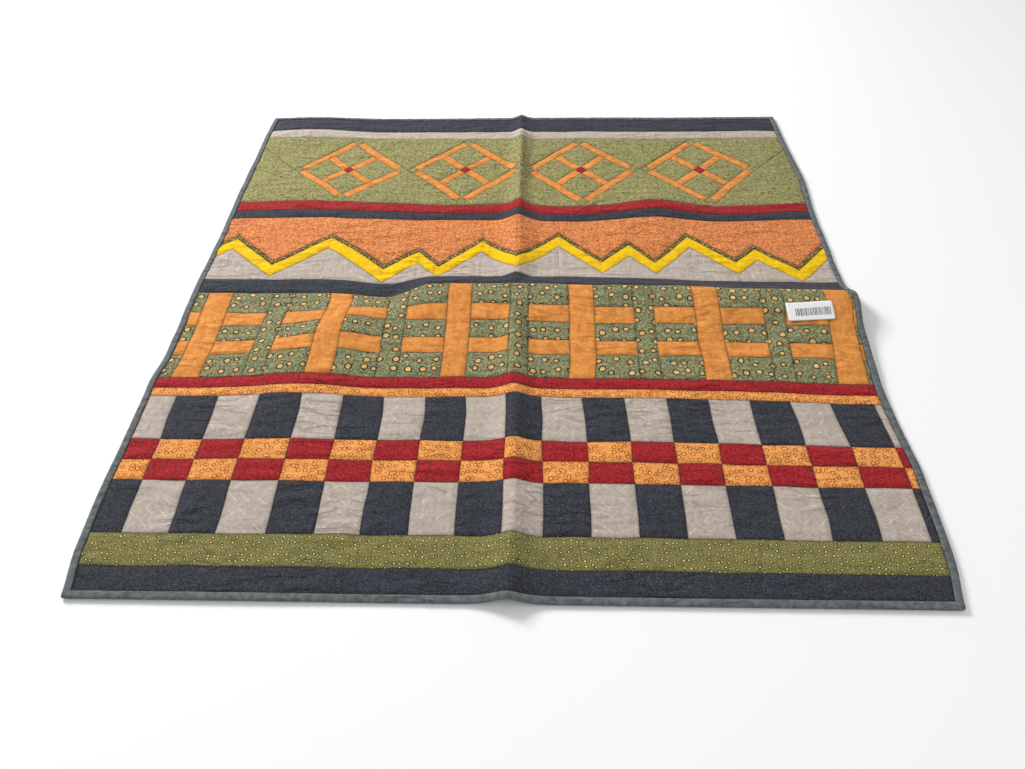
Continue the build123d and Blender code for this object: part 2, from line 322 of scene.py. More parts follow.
def cross_rows():
    """Far and near edge of every row of the cross blocks."""
    far = CROSSES[0]
    scale = (CROSSES[0] - CROSSES[1]) / sum(CROSS_ROWS)
    for depth in CROSS_ROWS:
        yield far, far - depth * scale
        far -= depth * scale


def cross_sides():
    """Spans along X of the units beside every upright bar."""
    for middle in CROSS_MIDDLES:
        yield max(-INNER_X, middle - CROSS_BAR / 2 - CROSS_ARM), middle - CROSS_BAR / 2
        yield middle + CROSS_BAR / 2, min(INNER_X, middle + CROSS_BAR / 2 + CROSS_ARM)


def cross_bars():
    """Upright bars and their arms."""
    rows = list(cross_rows())
    patches = [block(middle - CROSS_BAR / 2, middle + CROSS_BAR / 2, *CROSSES) for middle in CROSS_MIDDLES]
    patches += [block(west, east, *rows[arm]) for west, east in cross_sides() for arm in (1, 3)]
    return patches


def cross_ground():
    """Ground round the arms, and the strips between crosses."""
    rows = list(cross_rows())
    patches = [block(west, east, *rows[row]) for west, east in cross_sides() for row in (0, 2, 4)]
    reach = CROSS_BAR / 2 + CROSS_ARM
    patches += [block(west + reach, east - reach, *CROSSES) for west, east in pairwise(CROSS_MIDDLES)]
    return patches


def checker_patches(row_firsts):
    """Every second block of the given checker rows, from the given first column."""
    columns = list(pairwise([-INNER_X, *CHECKER_SEAMS, INNER_X]))
    patches = []
    for row, first in row_firsts.items():
        far = CHECKERS_FAR - sum(CHECKER_DEPTHS[:row])
        patches += [block(west, east, far, far - CHECKER_DEPTHS[row]) for west, east in columns[first::2]]
    return patches


def all_patches():
    """Every patch of the top, by the piece it belongs to."""
    groups = {name: strip_patches(name) for name in STRIPS}
    groups.update({
        "diamond_ground": diamond_ground(), "diamond_bars": diamond_bars(),
        "diamond_centres": diamond_centres(), "zigzag_sky": zigzag_sky(),
        "zigzag_piping": zigzag_piping(), "zigzag_ribbon": zigzag_ribbon(),
        "zigzag_hills": zigzag_hills(), "cross_bars": cross_bars(), "cross_ground": cross_ground(),
        "checker_grey": checker_patches({0: 0, 3: 1}), "checker_charcoal": checker_patches({0: 1, 3: 0}),
        "checker_red": checker_patches({1: 0, 2: 1}), "checker_orange": checker_patches({1: 1, 2: 0}),
    })
    return groups


PATCHES = all_patches()


# ---- How the quilt lies ---------------------------------------------------------------------

Swell = namedtuple("Swell", "x y left right far near lift slide_x slide_y")

# Each swell has its middle, its reach to four sides, its lift, and how far it pushes the cloth sideways
SWELLS = tuple(Swell(*(value * MM for value in swell)) for swell in (
    (-330, -150, 85, 70, 80, 150, 12.0, 0, 4),
    (-270, -90, 62, 80, 45, 60, 8.5, 0, 10),
    (-235, 8, 60, 50, 70, 28, 0.0, 0, -15),
    (-476, 556, 120, 110, 90, 70, 7.0, 0, 4),
    (-430, 300, 170, 110, 70, 90, 4.0, 0, 9),
    (265, 262, 60, 60, 60, 70, 8.5, 0, 3),
    (110, 255, 90, 90, 110, 90, 0.0, 0, -11),
    (405, 255, 110, 90, 110, 90, 0.0, 0, -11),
    (-100, 250, 120, 70, 80, 60, 0.0, 0, -6),
    (-60, -60, 130, 140, 70, 110, 0.0, 0, 9),
    (600, -150, 240, 80, 150, 260, 0.0, 0, -11),
    (560, 90, 260, 80, 90, 90, 0.0, 4, -8),
    (540, -40, 130, 60, 60, 70, 0.0, 10, 0),
    (520, -235, 90, 45, 60, 60, 0.0, -9, 0),
    (120, -235, 70, 70, 50, 60, 0.0, -5, 0),
    (-370, -30, 80, 80, 50, 70, 0.0, 7, 0),
    (-130, -130, 90, 60, 150, 150, 0.0, 5, 0),
    (-545, -235, 60, 80, 60, 60, 0.0, -6, 0),
    (-600, -10, 120, 90, 120, 120, 0.0, -4, 0),
    (-357, 380, 110, 110, 120, 120, 0.0, -7, 0),
    (400, 262, 110, 90, 60, 40, 0.0, 11, 0),
    (-180, -160, 60, 90, 60, 90, 1.5, 0, 0),
))

# The crosswise crest: where it starts along X, its reach to the near side, how far its top leans to the
# far side, how high its left part is and how much it gains to the right, and the share that runs out flat
CREST_START = (-232 * MM, -150 * MM)
CREST_NEAR = 62 * MM
CREST_LEAN = 9 * MM
CREST_RISE = 14.6 * MM
CREST_GAIN = 8.6 * MM
CREST_TAIL = 0.2

# Where the cloth is spread out sideways: by how much, round which place along Y, and how far to each side
NEAR_SPREAD = (9 * MM, -0.42, 0.19)
FAR_SPREAD = (7 * MM, 0.37, 0.13)

# How far the near and the far corners are drawn in
NEAR_DRAW = 7 * MM
FAR_DRAW = 6 * MM

# How far the near left part is gathered toward the ridge, and the other side of it pushed back
GATHER = 7.5 * MM
GATHER_BACK = 2 * MM

# How far the cloth and its side edges wander, and the height of the broad waves
CLOTH_DRIFT = 1.3 * MM
EDGE_DRIFT = 1.0 * MM
WAVE_HEIGHT = 1.1 * MM


def smooth(start, end, value):
    """Ease from 0 at start to 1 at end."""
    share = np.clip((value - start) / (end - start), 0, 1)
    return share * share * (3 - 2 * share)


def drift(x, y, seed):
    """Smooth noise from -1 to 1, one lump to a unit cell."""
    column, row = np.floor(x).astype(np.int64), np.floor(y).astype(np.int64)
    across, along = x - column, y - row
    across, along = across * across * (3 - 2 * across), along * along * (3 - 2 * along)

    def knot(step_x, step_y):
        mixed = ((column + step_x) * 374761393 + (row + step_y) * 668265263 + seed * 362437) & 0xFFFFFFFF
        mixed = ((mixed ^ (mixed >> 13)) * 1274126177) & 0xFFFFFFFF
        return ((mixed ^ (mixed >> 16)) & 0xFFFF) / 32767.5 - 1

    near = knot(0, 0) * (1 - across) + knot(1, 0) * across
    far = knot(0, 1) * (1 - across) + knot(1, 1) * across
    return near * (1 - along) + far * along


def ridge_shape(x):
    """Share of the centre ridge's height at x: a wide hollow foot, a straight flank and a round crest."""
    slope, foot_radius, crest_radius, height = math.radians(24), 90 * MM, 12 * MM, 15 * MM
    x = np.abs(x)
    flank_x = crest_radius * math.sin(slope)
    flank_z = height - crest_radius * (1 - math.cos(slope))
    foot_z = foot_radius * (1 - math.cos(slope))
    foot_x = flank_x + (flank_z - foot_z) / math.tan(slope) + foot_radius * math.sin(slope)
    crest = height - crest_radius + np.sqrt(np.maximum(crest_radius ** 2 - x ** 2, 0))
    flank = flank_z - (x - flank_x) * math.tan(slope)
    foot = foot_radius - np.sqrt(foot_radius ** 2 - np.clip(foot_x - x, 0, foot_radius) ** 2)
    line = np.where(x < flank_x, crest, np.where(flank > foot_z, flank, foot))
    return np.where(x > foot_x, 0.0, line) / height


def crest_share(x, y):
    """Share of the crosswise crest's height at a place, and whether it is on the crest's near side."""
    crest_y = -18 * MM - 10 * MM * smooth(0.15, 0.58, x)
    far_reach = 46 * MM - 13 * MM * smooth(0.0, 0.35, x)
    away = np.where(y > crest_y, (y - crest_y) / far_reach, (crest_y - y) / CREST_NEAR)
    return np.exp(-away ** 2), y < crest_y


def raw_lift(x, y):
    """Lift of the backing off the floor before it is held to the fold's room."""
    ridge = ridge_shape(x * (1 + 0.7 * smooth(0.20, 0.30, y)))
    ridge = sizes().ridge_height * ridge * (1 - 0.4 * smooth(0.45, 0.608, y))
    rise = CREST_RISE + CREST_GAIN * smooth(0.20, 0.50, x)
    share, nearer = crest_share(x, y)
    tail = CREST_TAIL * np.where(nearer, smooth(-0.31, -0.12, y), share)
    crest = rise * smooth(*CREST_START, x) * ((1 - CREST_TAIL) * share + tail)
    lift = np.maximum(ridge, crest) + 0.15 * np.minimum(ridge, crest)
    for swell in SWELLS:
        lift = lift + swell.lift * swell_share(swell, x, y)
    waves = WAVE_HEIGHT * (1 + drift(x / 0.17, y / 0.13, 3)) * (1 - 0.6 * ridge_shape(x))
    return lift + waves


def swell_share(swell, x, y):
    """Share of a swell's height at a place."""
    along = (x - swell.x) / np.where(x < swell.x, swell.left, swell.right)
    away = (y - swell.y) / np.where(y < swell.y, swell.near, swell.far)
    return np.exp(-along ** 2 - away ** 2)


def slides(x, y):
    """How far a place is pushed along X and Y by the swells, the crest, the gather and the cloth's drift."""
    slide_x, slide_y = np.zeros_like(x), np.zeros_like(y)
    for swell in SWELLS:
        share = swell_share(swell, x, y)
        slide_x = slide_x + swell.slide_x * share
        slide_y = slide_y + swell.slide_y * share
    leaning = smooth(*CREST_START, x) * (1 - smooth(0.25, 0.5, x))
    slide_y = slide_y + CREST_LEAN * leaning * crest_share(x, y)[0]
    gather = GATHER * smooth(-0.42, -0.30, x) * (1 - smooth(-0.02, 0.05, x))
    gather = gather - GATHER_BACK * ridge_shape((x - 0.048) / 2)
    slide_x = slide_x + gather * smooth(-0.2, -0.3, y)
    slide_x = slide_x + CLOTH_DRIFT * drift(x / 0.052, y / 0.043, 31)
    slide_y = slide_y + CLOTH_DRIFT * drift(x / 0.047, y / 0.055, 32)
    held = 1 - smooth(0.56, 0.608, np.abs(y))
    return slide_x * held, slide_y * held


def spread_at(amount, middle, reach, y):
    """A smooth spread of this amount round one place along Y."""
    return amount * np.exp(-((y - middle) / reach) ** 2)


def edge_shift(x, y):
    """How far a place moves along X as the edges spread, draw in at the corners and drift."""
    outward = np.clip(np.abs(x) / OUTER_X, 0, 1)
    spread = spread_at(*NEAR_SPREAD, y) * x / OUTER_X
    spread = spread + spread_at(*FAR_SPREAD, y) * np.clip(x, 0, None) * smooth(0, 0.3, x) / OUTER_X
    drawn = NEAR_DRAW * smooth(-0.53, -0.608, y) + FAR_DRAW * smooth(0.35, 0.608, y)
    edge = EDGE_DRIFT * drift(y / 0.06, y * 0, 11) * outward ** 6
    return spread - np.sign(x) * drawn * outward ** 2 + edge


def settle(x, y):
    """Where a place on the flat quilt lies: x, y and the lift of the backing."""
    lift = raw_lift(x, y)
    both = lift + raw_lift(-x, y)
    lift = lift * np.minimum(1, sizes().fold_room / np.maximum(both, 1e-6))
    slide_x, slide_y = slides(x, y)
    return x + slide_x + edge_shift(x, y), y + slide_y, lift


def puckers(x, y):
    """Small puckers, longer across the quilt than along it, as hollows from 0 to -1."""
    bend = 0.006 * drift(x / 0.05, y / 0.03, 5)
    fine = drift(x / 0.034, (y + bend) / 0.0095, 7)
    coarse = drift(x / 0.06, (y + bend) / 0.018, 8)
    upright = drift((x + bend) / 0.014, y / 0.045, 9)
    strong = 0.6 + 0.4 * drift(x / 0.12, y / 0.09, 10)
    return -strong * np.clip(0.5 - 0.55 * fine - 0.3 * coarse - 0.2 * upright, 0, 1)


# ---- Mesh making ----------------------------------------------------------------------------

# How far in a turned-under rim lies, how much farther a zigzag's sides along the quilt count, and how
# far the painted shade beside a seam reaches
RIM_TUCK = 0.35 * MM
LEVEL_SEAM = 4.5 * MM
PAINTED_SEAM_SHADE_WIDTH = 1.2 * MM


def grid_faces(rows, columns, downward=False):
    """Faces of a grid whose columns run along X and rows along Y, facing up or down."""
    index = np.arange(rows * columns).reshape(rows, columns)
    corners = [index[:-1, :-1], index[:-1, 1:], index[1:, 1:], index[1:, :-1]]
    if downward:
        corners[1], corners[3] = corners[3], corners[1]
    return np.stack(corners, -1).reshape(-1, 4)


def slab_faces(rows, columns):
    """Faces of a closed slab: a grid, the same grid again under it, and the sides between them."""
    index = np.arange(rows * columns).reshape(rows, columns)
    top = grid_faces(rows, columns)
    ring = np.concatenate([index[0, :-1], index[:-1, -1], index[-1, :0:-1], index[:0:-1, 0]])
    following = np.roll(ring, -1)
    below = rows * columns
    sides = np.stack([ring + below, following + below, following, ring], 1)
    return top.tolist() + (top[:, ::-1] + below).tolist() + sides.tolist()


def even_grid(half_x, half_y, columns, rows):
    """Places of an even grid round the origin, as flat lists of x and y."""
    across, along = np.linspace(-half_x, half_x, columns), np.linspace(-half_y, half_y, rows)
    x, y = (grid.ravel() for grid in np.meshgrid(across, along))
    return x, y


def round_corners(x, y, half_x, half_y, radius):
    """Draw the square corners of a rectangle in to round ones."""
    in_x = np.abs(x) - (half_x - radius)
    in_y = np.abs(y) - (half_y - radius)
    corner = (in_x > 0) & (in_y > 0)
    keep = np.where(corner, np.maximum(in_x, in_y) / np.maximum(np.hypot(in_x, in_y), 1e-9), 1.0)
    new_x = np.where(corner, np.sign(x) * (half_x - radius + in_x * keep), x)
    new_y = np.where(corner, np.sign(y) * (half_y - radius + in_y * keep), y)
    return new_x, new_y


def sides_of(corners):
    """Start and end of every side of an outline."""
    return zip(corners, np.roll(corners, -1, axis=0))


def side_steps(side, step):
    """Shares along a side: close together at both ends, where the cloth rolls into its seam, then even."""
    roll = [0.0, 0.9 * MM, 2.1 * MM, 3.8 * MM]
    if side < 4 * roll[-1]:
        return np.linspace(0, 1, max(5, round(side / (1.6 * MM))) + 1)
    middle = np.linspace(roll[-1], side - roll[-1], max(1, round((side - 2 * roll[-1]) / step)) + 1)
    places = np.concatenate([roll[:-1], middle, side - np.array(roll[:-1])[::-1]])
    return places / side


def with_rim(shares, side):
    """Add a row at both ends for the turned-under edge, a little way in."""
    tuck = RIM_TUCK / side
    return np.concatenate([[tuck], shares, [1 - tuck]])


def edge_distances(flat, corners, flush=0.0):
    """Distance of each place from the nearest side of a convex patch. Sides along the quilt count as
    farther by flush, so that the cloth stays almost level over them."""
    nearest = np.full(len(flat), 1e3)
    for start, end in sides_of(np.array(corners)):
        run = end - start
        run = run / np.hypot(*run)
        offset = flat - start
        gap = np.abs(offset[:, 0] * run[1] - offset[:, 1] * run[0])
        nearest = np.minimum(nearest, gap + (flush if abs(run[0]) < 0.01 else 0.0))
    return nearest


def quad_patch(corners, step):
    """Flat grid over a four-sided patch, with a turned-under rim."""
    corners = np.array(corners)
    width = max(np.hypot(*(corners[1] - corners[0])), np.hypot(*(corners[2] - corners[3])))
    depth = max(np.hypot(*(corners[3] - corners[0])), np.hypot(*(corners[2] - corners[1])))
    across = with_rim(side_steps(width, step), width)
    along = with_rim(side_steps(depth, step), depth)
    a, b = np.meshgrid(across, along)
    a, b = a.ravel()[:, None], b.ravel()[:, None]
    far = corners[0] * (1 - a) + corners[1] * a
    near = corners[3] * (1 - a) + corners[2] * a
    flat = far * (1 - b) + near * b
    rim = np.ones((len(along), len(across)), bool)
    rim[1:-1, 1:-1] = False
    return flat, grid_faces(len(along), len(across), downward=True).tolist(), rim.ravel()


def cut_patch(corners, step):
    """Flat grid cut to a patch of any convex outline, with a turned-under rim."""
    outline = np.array(corners)
    low, high = outline.min(0) - step, outline.max(0) + step
    columns, rows = (np.ceil((high - low) / step)).astype(int)
    bm = bmesh.new()
    grid = [[bm.verts.new((low[0] + i * step, low[1] + j * step, 0)) for i in range(columns + 1)]
            for j in range(rows + 1)]
    for j in range(rows):
        for i in range(columns):
            bm.faces.new((grid[j][i], grid[j][i + 1], grid[j + 1][i + 1], grid[j + 1][i]))
    for start, end in sides_of(outline):
        run = end - start
        bmesh.ops.bisect_plane(bm, geom=bm.verts[:] + bm.edges[:] + bm.faces[:], dist=0.3 * MM,
                               plane_co=(*start, 0), plane_no=(-run[1], run[0], 0), clear_outer=True)
    middle = outline.mean(0)
    border = [edge for edge in bm.edges if edge.is_boundary]
    made = bmesh.ops.extrude_edge_only(bm, edges=border)["geom"]
    tucked = [item for item in made if isinstance(item, bmesh.types.BMVert)]
    for vert in tucked:
        inward = Vector((middle[0] - vert.co.x, middle[1] - vert.co.y, 0)).normalized()
        vert.co += inward * RIM_TUCK
    bm.verts.index_update()
    marks = {vert.index for vert in tucked}
    flat = np.array([vert.co.xy for vert in bm.verts])
    faces = [[vert.index for vert in face.verts] for face in bm.faces]
    bm.free()
    return flat, faces, np.array([index in marks for index in range(len(flat))])


def top_height(flat, depth_in, rim):
    """Height of the top cloth above the backing's underside: puffed between seams, with puckers."""
    s = sizes()
    puffed = 1 - np.exp(-(depth_in / s.puff_reach) ** 1.2)
    height = s.ditch + (s.puff - s.ditch) * puffed
    height = height + s.pucker * puckers(flat[:, 0], flat[:, 1]) * (0.35 + 0.65 * puffed)
    return np.where(rim, s.ditch - s.turn_under, height)


def make_mesh(name, points, faces, flat, material, ditch=None):
    """Make a smooth mesh object whose UV map holds the flat quilt's own coordinates in metres.
    ditch is 1 along the seams and falls to 0 beside them; its attribute paints shade that darkens them."""
    mesh = bpy.data.meshes.new(name)
    mesh.from_pydata(points.tolist(), [], faces)
    corner_verts = np.zeros(len(mesh.loops), np.int64)
    mesh.loops.foreach_get("vertex_index", corner_verts)
    mesh.uv_layers.new(name="cloth").data.foreach_set("uv", np.asarray(flat)[corner_verts].ravel())
    mesh.polygons.foreach_set("use_smooth", np.ones(len(mesh.polygons), bool))
    if ditch is not None:
        mesh.attributes.new("ditch", "FLOAT", "POINT").data.foreach_set("value", ditch.astype(np.float32))
    mesh.materials.append(material)
    obj = bpy.data.objects.new(name, mesh)
    bpy.context.scene.collection.objects.link(obj)
    return obj


def across_fold(obj):
    """Bake a piece's transform into its mesh; settle has already lifted it over the centre ridge."""
    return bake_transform(obj)


def polygon_area(corners):
    """Area of a flat outline."""
    x, y = np.array(corners).T
    return 0.5 * abs(np.dot(x, np.roll(y, 1)) - np.dot(y, np.roll(x, 1)))


def cut_size(patches):
    """Length and depth of the one strip of cloth that these patches could all be cut from."""
    areas = [polygon_area(corners) for corners in patches]
    longest = [max(math.dist(start, end) for start, end in pairwise([*corners, corners[0]]))
               for corners in patches]
    depth = max(10 * MM, sum(area / side for area, side in zip(areas, longest)) / len(patches))
    return sum(areas) / depth, depth


def top_piece(name, material, slot):
    """Make one group of patches of the top cloth."""
    step = sizes().mesh_step
    flush = LEVEL_SEAM if name.startswith("zigzag") else 0.0
    flats, faces, heights, painted_seam_shades, count = [], [], [], [], 0
    for corners in PATCHES[name]:
        flat, patch_faces, rim = (quad_patch if len(corners) == 4 else cut_patch)(corners, step)
        depth_in = edge_distances(flat, corners, flush)
        flats.append(flat)
        heights.append(top_height(flat, depth_in, rim))
        # Painted shade along the seams, 1 at a seam, kept as the ditch attribute
        painted_seam_shades.append(np.exp(-depth_in / PAINTED_SEAM_SHADE_WIDTH))
        faces += [[index + count for index in face] for face in patch_faces]
        count += len(flat)
    flat, height = np.concatenate(flats), np.concatenate(heights)
    x, y, lift = settle(flat[:, 0], flat[:, 1])
    points = np.stack([x, y, lift + height], 1)
    obj = make_mesh(name, points, faces, flat, material, np.concatenate(painted_seam_shades))
    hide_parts(f"{name}_left", f"{name}_right")
    cut_size(PATCHES[name])
    return across_fold(obj)


# ---- Shader node groups ---------------------------------------------------------------------

PLACE = ("Vector", "Vector", None)


def new_group(name, inputs, outputs):
    """Start a shader node group with named sockets: inputs and outputs as (name, type, default)."""
    group = bpy.data.node_groups.new(name, "ShaderNodeTree")
    for socket, kind, default in inputs:
        made = group.interface.new_socket(socket, in_out="INPUT", socket_type=f"NodeSocket{kind}")
        if default is not None:
            made.default_value = default
    for socket, kind in outputs:
        group.interface.new_socket(socket, in_out="OUTPUT", socket_type=f"NodeSocket{kind}")
    return group, group.nodes.new("NodeGroupInput"), group.nodes.new("NodeGroupOutput")


def feed(tree, socket, value):
    """Give a socket a value of its own, or link another socket to it."""
    if isinstance(value, bpy.types.NodeSocket):
        tree.links.new(value, socket)
    else:
        socket.default_value = value


def node(tree, kind, inputs=(), **settings):
    """Add a node, set it up, and feed its inputs from values or other sockets."""
    made = tree.nodes.new(f"ShaderNode{kind}")
    for key, value in settings.items():
        setattr(made, key, value)
    for key, value in dict(inputs).items():
        feed(tree, made.inputs[key], value)
    return made


def math_node(tree, operation, first, second=0.0, third=0.0):
    """One step of arithmetic on values or sockets."""
    return node(tree, "Math", {0: first, 1: second, 2: third}, operation=operation).outputs[0]


def times(tree, first, second):
    """Multiply two values."""
    return math_node(tree, "MULTIPLY", first, second)


def plus(tree, first, second):
    """Add two values."""
    return math_node(tree, "ADD", first, second)


def minus(tree, first, second):
    """Take the second value from the first."""
    return math_node(tree, "SUBTRACT", first, second)


def times_plus(tree, first, second, third):
    """Multiply two values and add a third."""
    return math_node(tree, "MULTIPLY_ADD", first, second, third)


def magnitude(tree, value):
    """A value without its sign."""
    return math_node(tree, "ABSOLUTE", value)


def under(tree, value, limit):
    """1 where a value is under a limit."""
    return math_node(tree, "LESS_THAN", value, limit)


def scaled(tree, vector, factor):
    """A vector times one factor."""
    return node(tree, "VectorMath", {0: vector, 3: factor}, operation="SCALE").outputs[0]


def stretched(tree, vector, factors):
    """A vector with each part times its own factor."""
    return node(tree, "VectorMath", {0: vector, 1: factors}, operation="MULTIPLY").outputs[0]


def noise(tree, vector, scale, detail, distortion=0.0, roughness=0.5):
    """Smooth noise round 0.5."""
    inputs = {"Vector": vector, "Scale": scale, "Detail": detail, "Distortion": distortion,
              "Roughness": roughness}
    return node(tree, "TexNoise", inputs).outputs["Fac"]


def ramp(tree, value, low, high):
    """Ease a value from 0 at low to 1 at high."""
    inputs = {"Value": value, "From Min": low, "From Max": high}
    return node(tree, "MapRange", inputs, interpolation_type="SMOOTHSTEP").outputs["Result"]


def mix(tree, share, first, second, blend_type="MIX"):
    """Mix two colours."""
    inputs = {0: share, 6: first, 7: second}
    return node(tree, "Mix", inputs, data_type="RGBA", blend_type=blend_type).outputs[2]


def build_weave():
    """Plain weave: thread height, and a painted shade of the threads, darker where they dip."""
    group, entry, out = new_group(
        "Plain Weave", [PLACE, ("Threads per Metre", "Float", 1500.0)],
        [("Height", "Float"), ("Shade", "Float")])
    place = scaled(group, entry.outputs["Vector"], entry.outputs["Threads per Metre"])
    split = node(group, "SeparateXYZ", {0: place})
    warp, weft = (magnitude(group, math_node(group, "SINE", times(group, split.outputs[axis], math.pi)))
                  for axis in (0, 1))
    over = node(group, "TexChecker", {"Vector": place, "Scale": 1.0}).outputs["Fac"]
    crossed = times(group, weft, minus(group, 1.0, over))
    threads = plus(group, times(group, warp, over), crossed)
    slub = noise(group, place, 0.12, 2.0)
    group.links.new(threads, out.inputs["Height"])
    # Painted shade: darker where the threads dip
    group.links.new(times(group, threads, ramp(group, slub, 0.25, 0.8)), out.inputs["Shade"])
    return group


def build_mottle():
    """Clouded dye: a cloud mask with soft edges."""
    group, entry, out = new_group(
        "Clouded Dye", [PLACE, ("Scale", "Float", 60.0), ("Low", "Float", 0.4), ("High", "Float", 0.62),
                        ("Detail", "Float", 4.0)], [("Cloud", "Float")])
    cloud = noise(group, entry.outputs["Vector"], entry.outputs["Scale"], entry.outputs["Detail"], 0.6)
    eased = ramp(group, cloud, entry.outputs["Low"], entry.outputs["High"])
    group.links.new(eased, out.inputs["Cloud"])
    return group


def build_scrolls():
    """Printed scrolls: thin winding lines, as a mask."""
    group, entry, out = new_group(
        "Printed Scrolls", [PLACE, ("Scale", "Float", 120.0), ("Turns", "Float", 3.0),
                            ("Line", "Float", 0.16)], [("Lines", "Float")])
    bent = noise(group, entry.outputs["Vector"], entry.outputs["Scale"], 0.0, 1.4)
    turned = times(group, bent, entry.outputs["Turns"])
    folded = magnitude(group, minus(group, math_node(group, "FRACT", turned), 0.5))
    faded = ramp(group, folded, times(group, entry.outputs["Line"], 0.6), entry.outputs["Line"])
    group.links.new(minus(group, 1.0, faded), out.inputs["Lines"])
    return group


def build_dots():
    """Printed spots with a rim: masks of the spots and of the rims, with a few spots left out."""
    group, entry, out = new_group(
        "Printed Spots", [PLACE, ("Spots per Metre", "Float", 100.0), ("Radius", "Float", 0.2),
                          ("Rim", "Float", 0.06), ("Scatter", "Float", 0.8), ("Share", "Float", 1.0)],
        [("Spot", "Float"), ("Ring", "Float"), ("Shade", "Float")])
    place = entry.outputs["Vector"]
    cells = node(group, "TexVoronoi", {"Vector": place, "Scale": entry.outputs["Spots per Metre"],
                                       "Randomness": entry.outputs["Scatter"]}, voronoi_dimensions="2D")
    pull = times_plus(group, noise(group, place, 260.0, 1.0), 0.16, -0.08)
    away = plus(group, cells.outputs["Distance"], times(group, pull, 0.8))
    tone = node(group, "SeparateColor", {0: cells.outputs["Color"]})
    radius = times(group, entry.outputs["Radius"], times_plus(group, tone.outputs[0], 0.35, 0.8))
    kept = under(group, tone.outputs[1], entry.outputs["Share"])
    inner = ramp(group, away, radius, times(group, radius, 1.18))
    edge = plus(group, radius, entry.outputs["Rim"])
    outer = ramp(group, away, edge, times(group, edge, 1.14))
    spot = times(group, minus(group, 1.0, inner), kept)
    whole = times(group, minus(group, 1.0, outer), kept)
    group.links.new(spot, out.inputs["Spot"])
    group.links.new(minus(group, whole, spot), out.inputs["Ring"])
    group.links.new(tone.outputs[2], out.inputs["Shade"])
    return group


def build_dashes():
    """Dotted dashes on both diagonals: a mask."""
    group, entry, out = new_group(
        "Dotted Dashes", [PLACE, ("Dashes per Metre", "Float", 46.0), ("Length", "Float", 0.7),
                          ("Width", "Float", 0.034), ("Beads", "Float", 6.0)], [("Dash", "Float")])
    place, pitch = entry.outputs["Vector"], entry.outputs["Dashes per Metre"]
    cells = node(group, "TexVoronoi", {"Vector": place, "Scale": pitch, "Randomness": 0.55},
                 voronoi_dimensions="2D")
    middle = scaled(group, cells.outputs["Position"], pitch)
    offset = node(group, "VectorMath", {0: scaled(group, place, pitch), 1: middle}, operation="SUBTRACT")
    local = node(group, "SeparateXYZ", {0: offset.outputs[0]})
    tone = node(group, "SeparateColor", {0: cells.outputs["Color"]})
    hand = times_plus(group, math_node(group, "GREATER_THAN", tone.outputs[0], 0.5), 2.0, -1.0)
    turned = times(group, local.outputs[0], hand)
    along = times(group, plus(group, turned, local.outputs[1]), math.sqrt(0.5))
    across = times(group, minus(group, turned, local.outputs[1]), math.sqrt(0.5))
    in_length = under(group, magnitude(group, along), times(group, entry.outputs["Length"], 0.5))
    in_width = under(group, magnitude(group, across), entry.outputs["Width"])
    beads = math_node(group, "FRACT", times(group, along, entry.outputs["Beads"]))
    beads = times_plus(group, under(group, beads, 0.55), 0.95, 0.05)
    kept = under(group, tone.outputs[1], 0.72)
    inside = times(group, times(group, in_length, in_width), kept)
    group.links.new(times(group, inside, beads), out.inputs["Dash"])
    return group


def build_painted_pucker_shade():
    """Random soft lighter and darker places, painted shade standing in for puckers, as a shade round 1."""
    group, entry, out = new_group("Painted Pucker Shade", [PLACE, ("Amount", "Float", 0.12)], [("Shade", "Float")])
    place = entry.outputs["Vector"]
    broad = times(group, noise(group, place, 9.0, 3.0), 0.5)
    fine = times(group, noise(group, place, 140.0, 5.0, roughness=0.65), 0.5)
    centred = times(group, minus(group, plus(group, broad, fine), 0.5), entry.outputs["Amount"])
    group.links.new(times_plus(group, centred, 4.0, 1.0), out.inputs["Shade"])
    return group


def build_fine_puckers():
    """Puckers too fine for the mesh, longer across than along: a height in millimetres, and the narrow
    creases at their feet, from 0 to 1, as the mask of a painted shade."""
    group, entry, out = new_group("Fine Puckers", [PLACE], [("Height", "Float"), ("Painted Crease Shade", "Float")])
    place = entry.outputs["Vector"]
    folds = noise(group, stretched(group, place, (19.0, 72.0, 1.0)), 1.0, 0.6, 0.5)
    tucks = noise(group, stretched(group, place, (120.0, 30.0, 1.0)), 1.0, 0.0)
    fuzz = noise(group, place, 420.0, 2.0)
    strong = ramp(group, noise(group, place, 9.0, 1.0), 0.4, 0.62)
    line = ramp(group, magnitude(group, minus(group, folds, 0.47)), 0.08, 0.0)
    # The crease dents the bump, and its mask also paints shade into the colour
    crease = times(group, line, times_plus(group, strong, 0.85, 0.15))
    broad = times(group, folds, times_plus(group, strong, 3.6, 1.4))
    height = times_plus(group, tucks, 1.2, broad)
    dented = times_plus(group, crease, -0.5, height)
    group.links.new(times_plus(group, fuzz, 0.25, dented), out.inputs["Height"])
    group.links.new(crease, out.inputs["Painted Crease Shade"])
    return group


GROUP_MAKERS = {"Plain Weave": build_weave, "Clouded Dye": build_mottle, "Printed Scrolls": build_scrolls,
                "Printed Spots": build_dots, "Dotted Dashes": build_dashes, "Painted Pucker Shade": build_painted_pucker_shade,
                "Fine Puckers": build_fine_puckers}


def use_group(tree, name, **inputs):
    """Place a shared node group, making it the first time."""
    made = tree.nodes.new("ShaderNodeGroup")
    made.node_tree = bpy.data.node_groups.get(name) or GROUP_MAKERS[name]()
    for key, value in inputs.items():
        feed(tree, made.inputs[key.replace("_", " ")], value)
    return made


# ---- Materials ------------------------------------------------------------------------------

# How much painted shade darkens the seams of most prints and of the olive one, how much painted shade
# darkens the creases, and the threads' height in mm
PLAIN_PAINTED_SEAM_SHADE = 0.6
OLIVE_PAINTED_SEAM_SHADE = 0.25
CREASE_PAINTED_SHADE = 0.22
WEAVE_RELIEF = 0.08


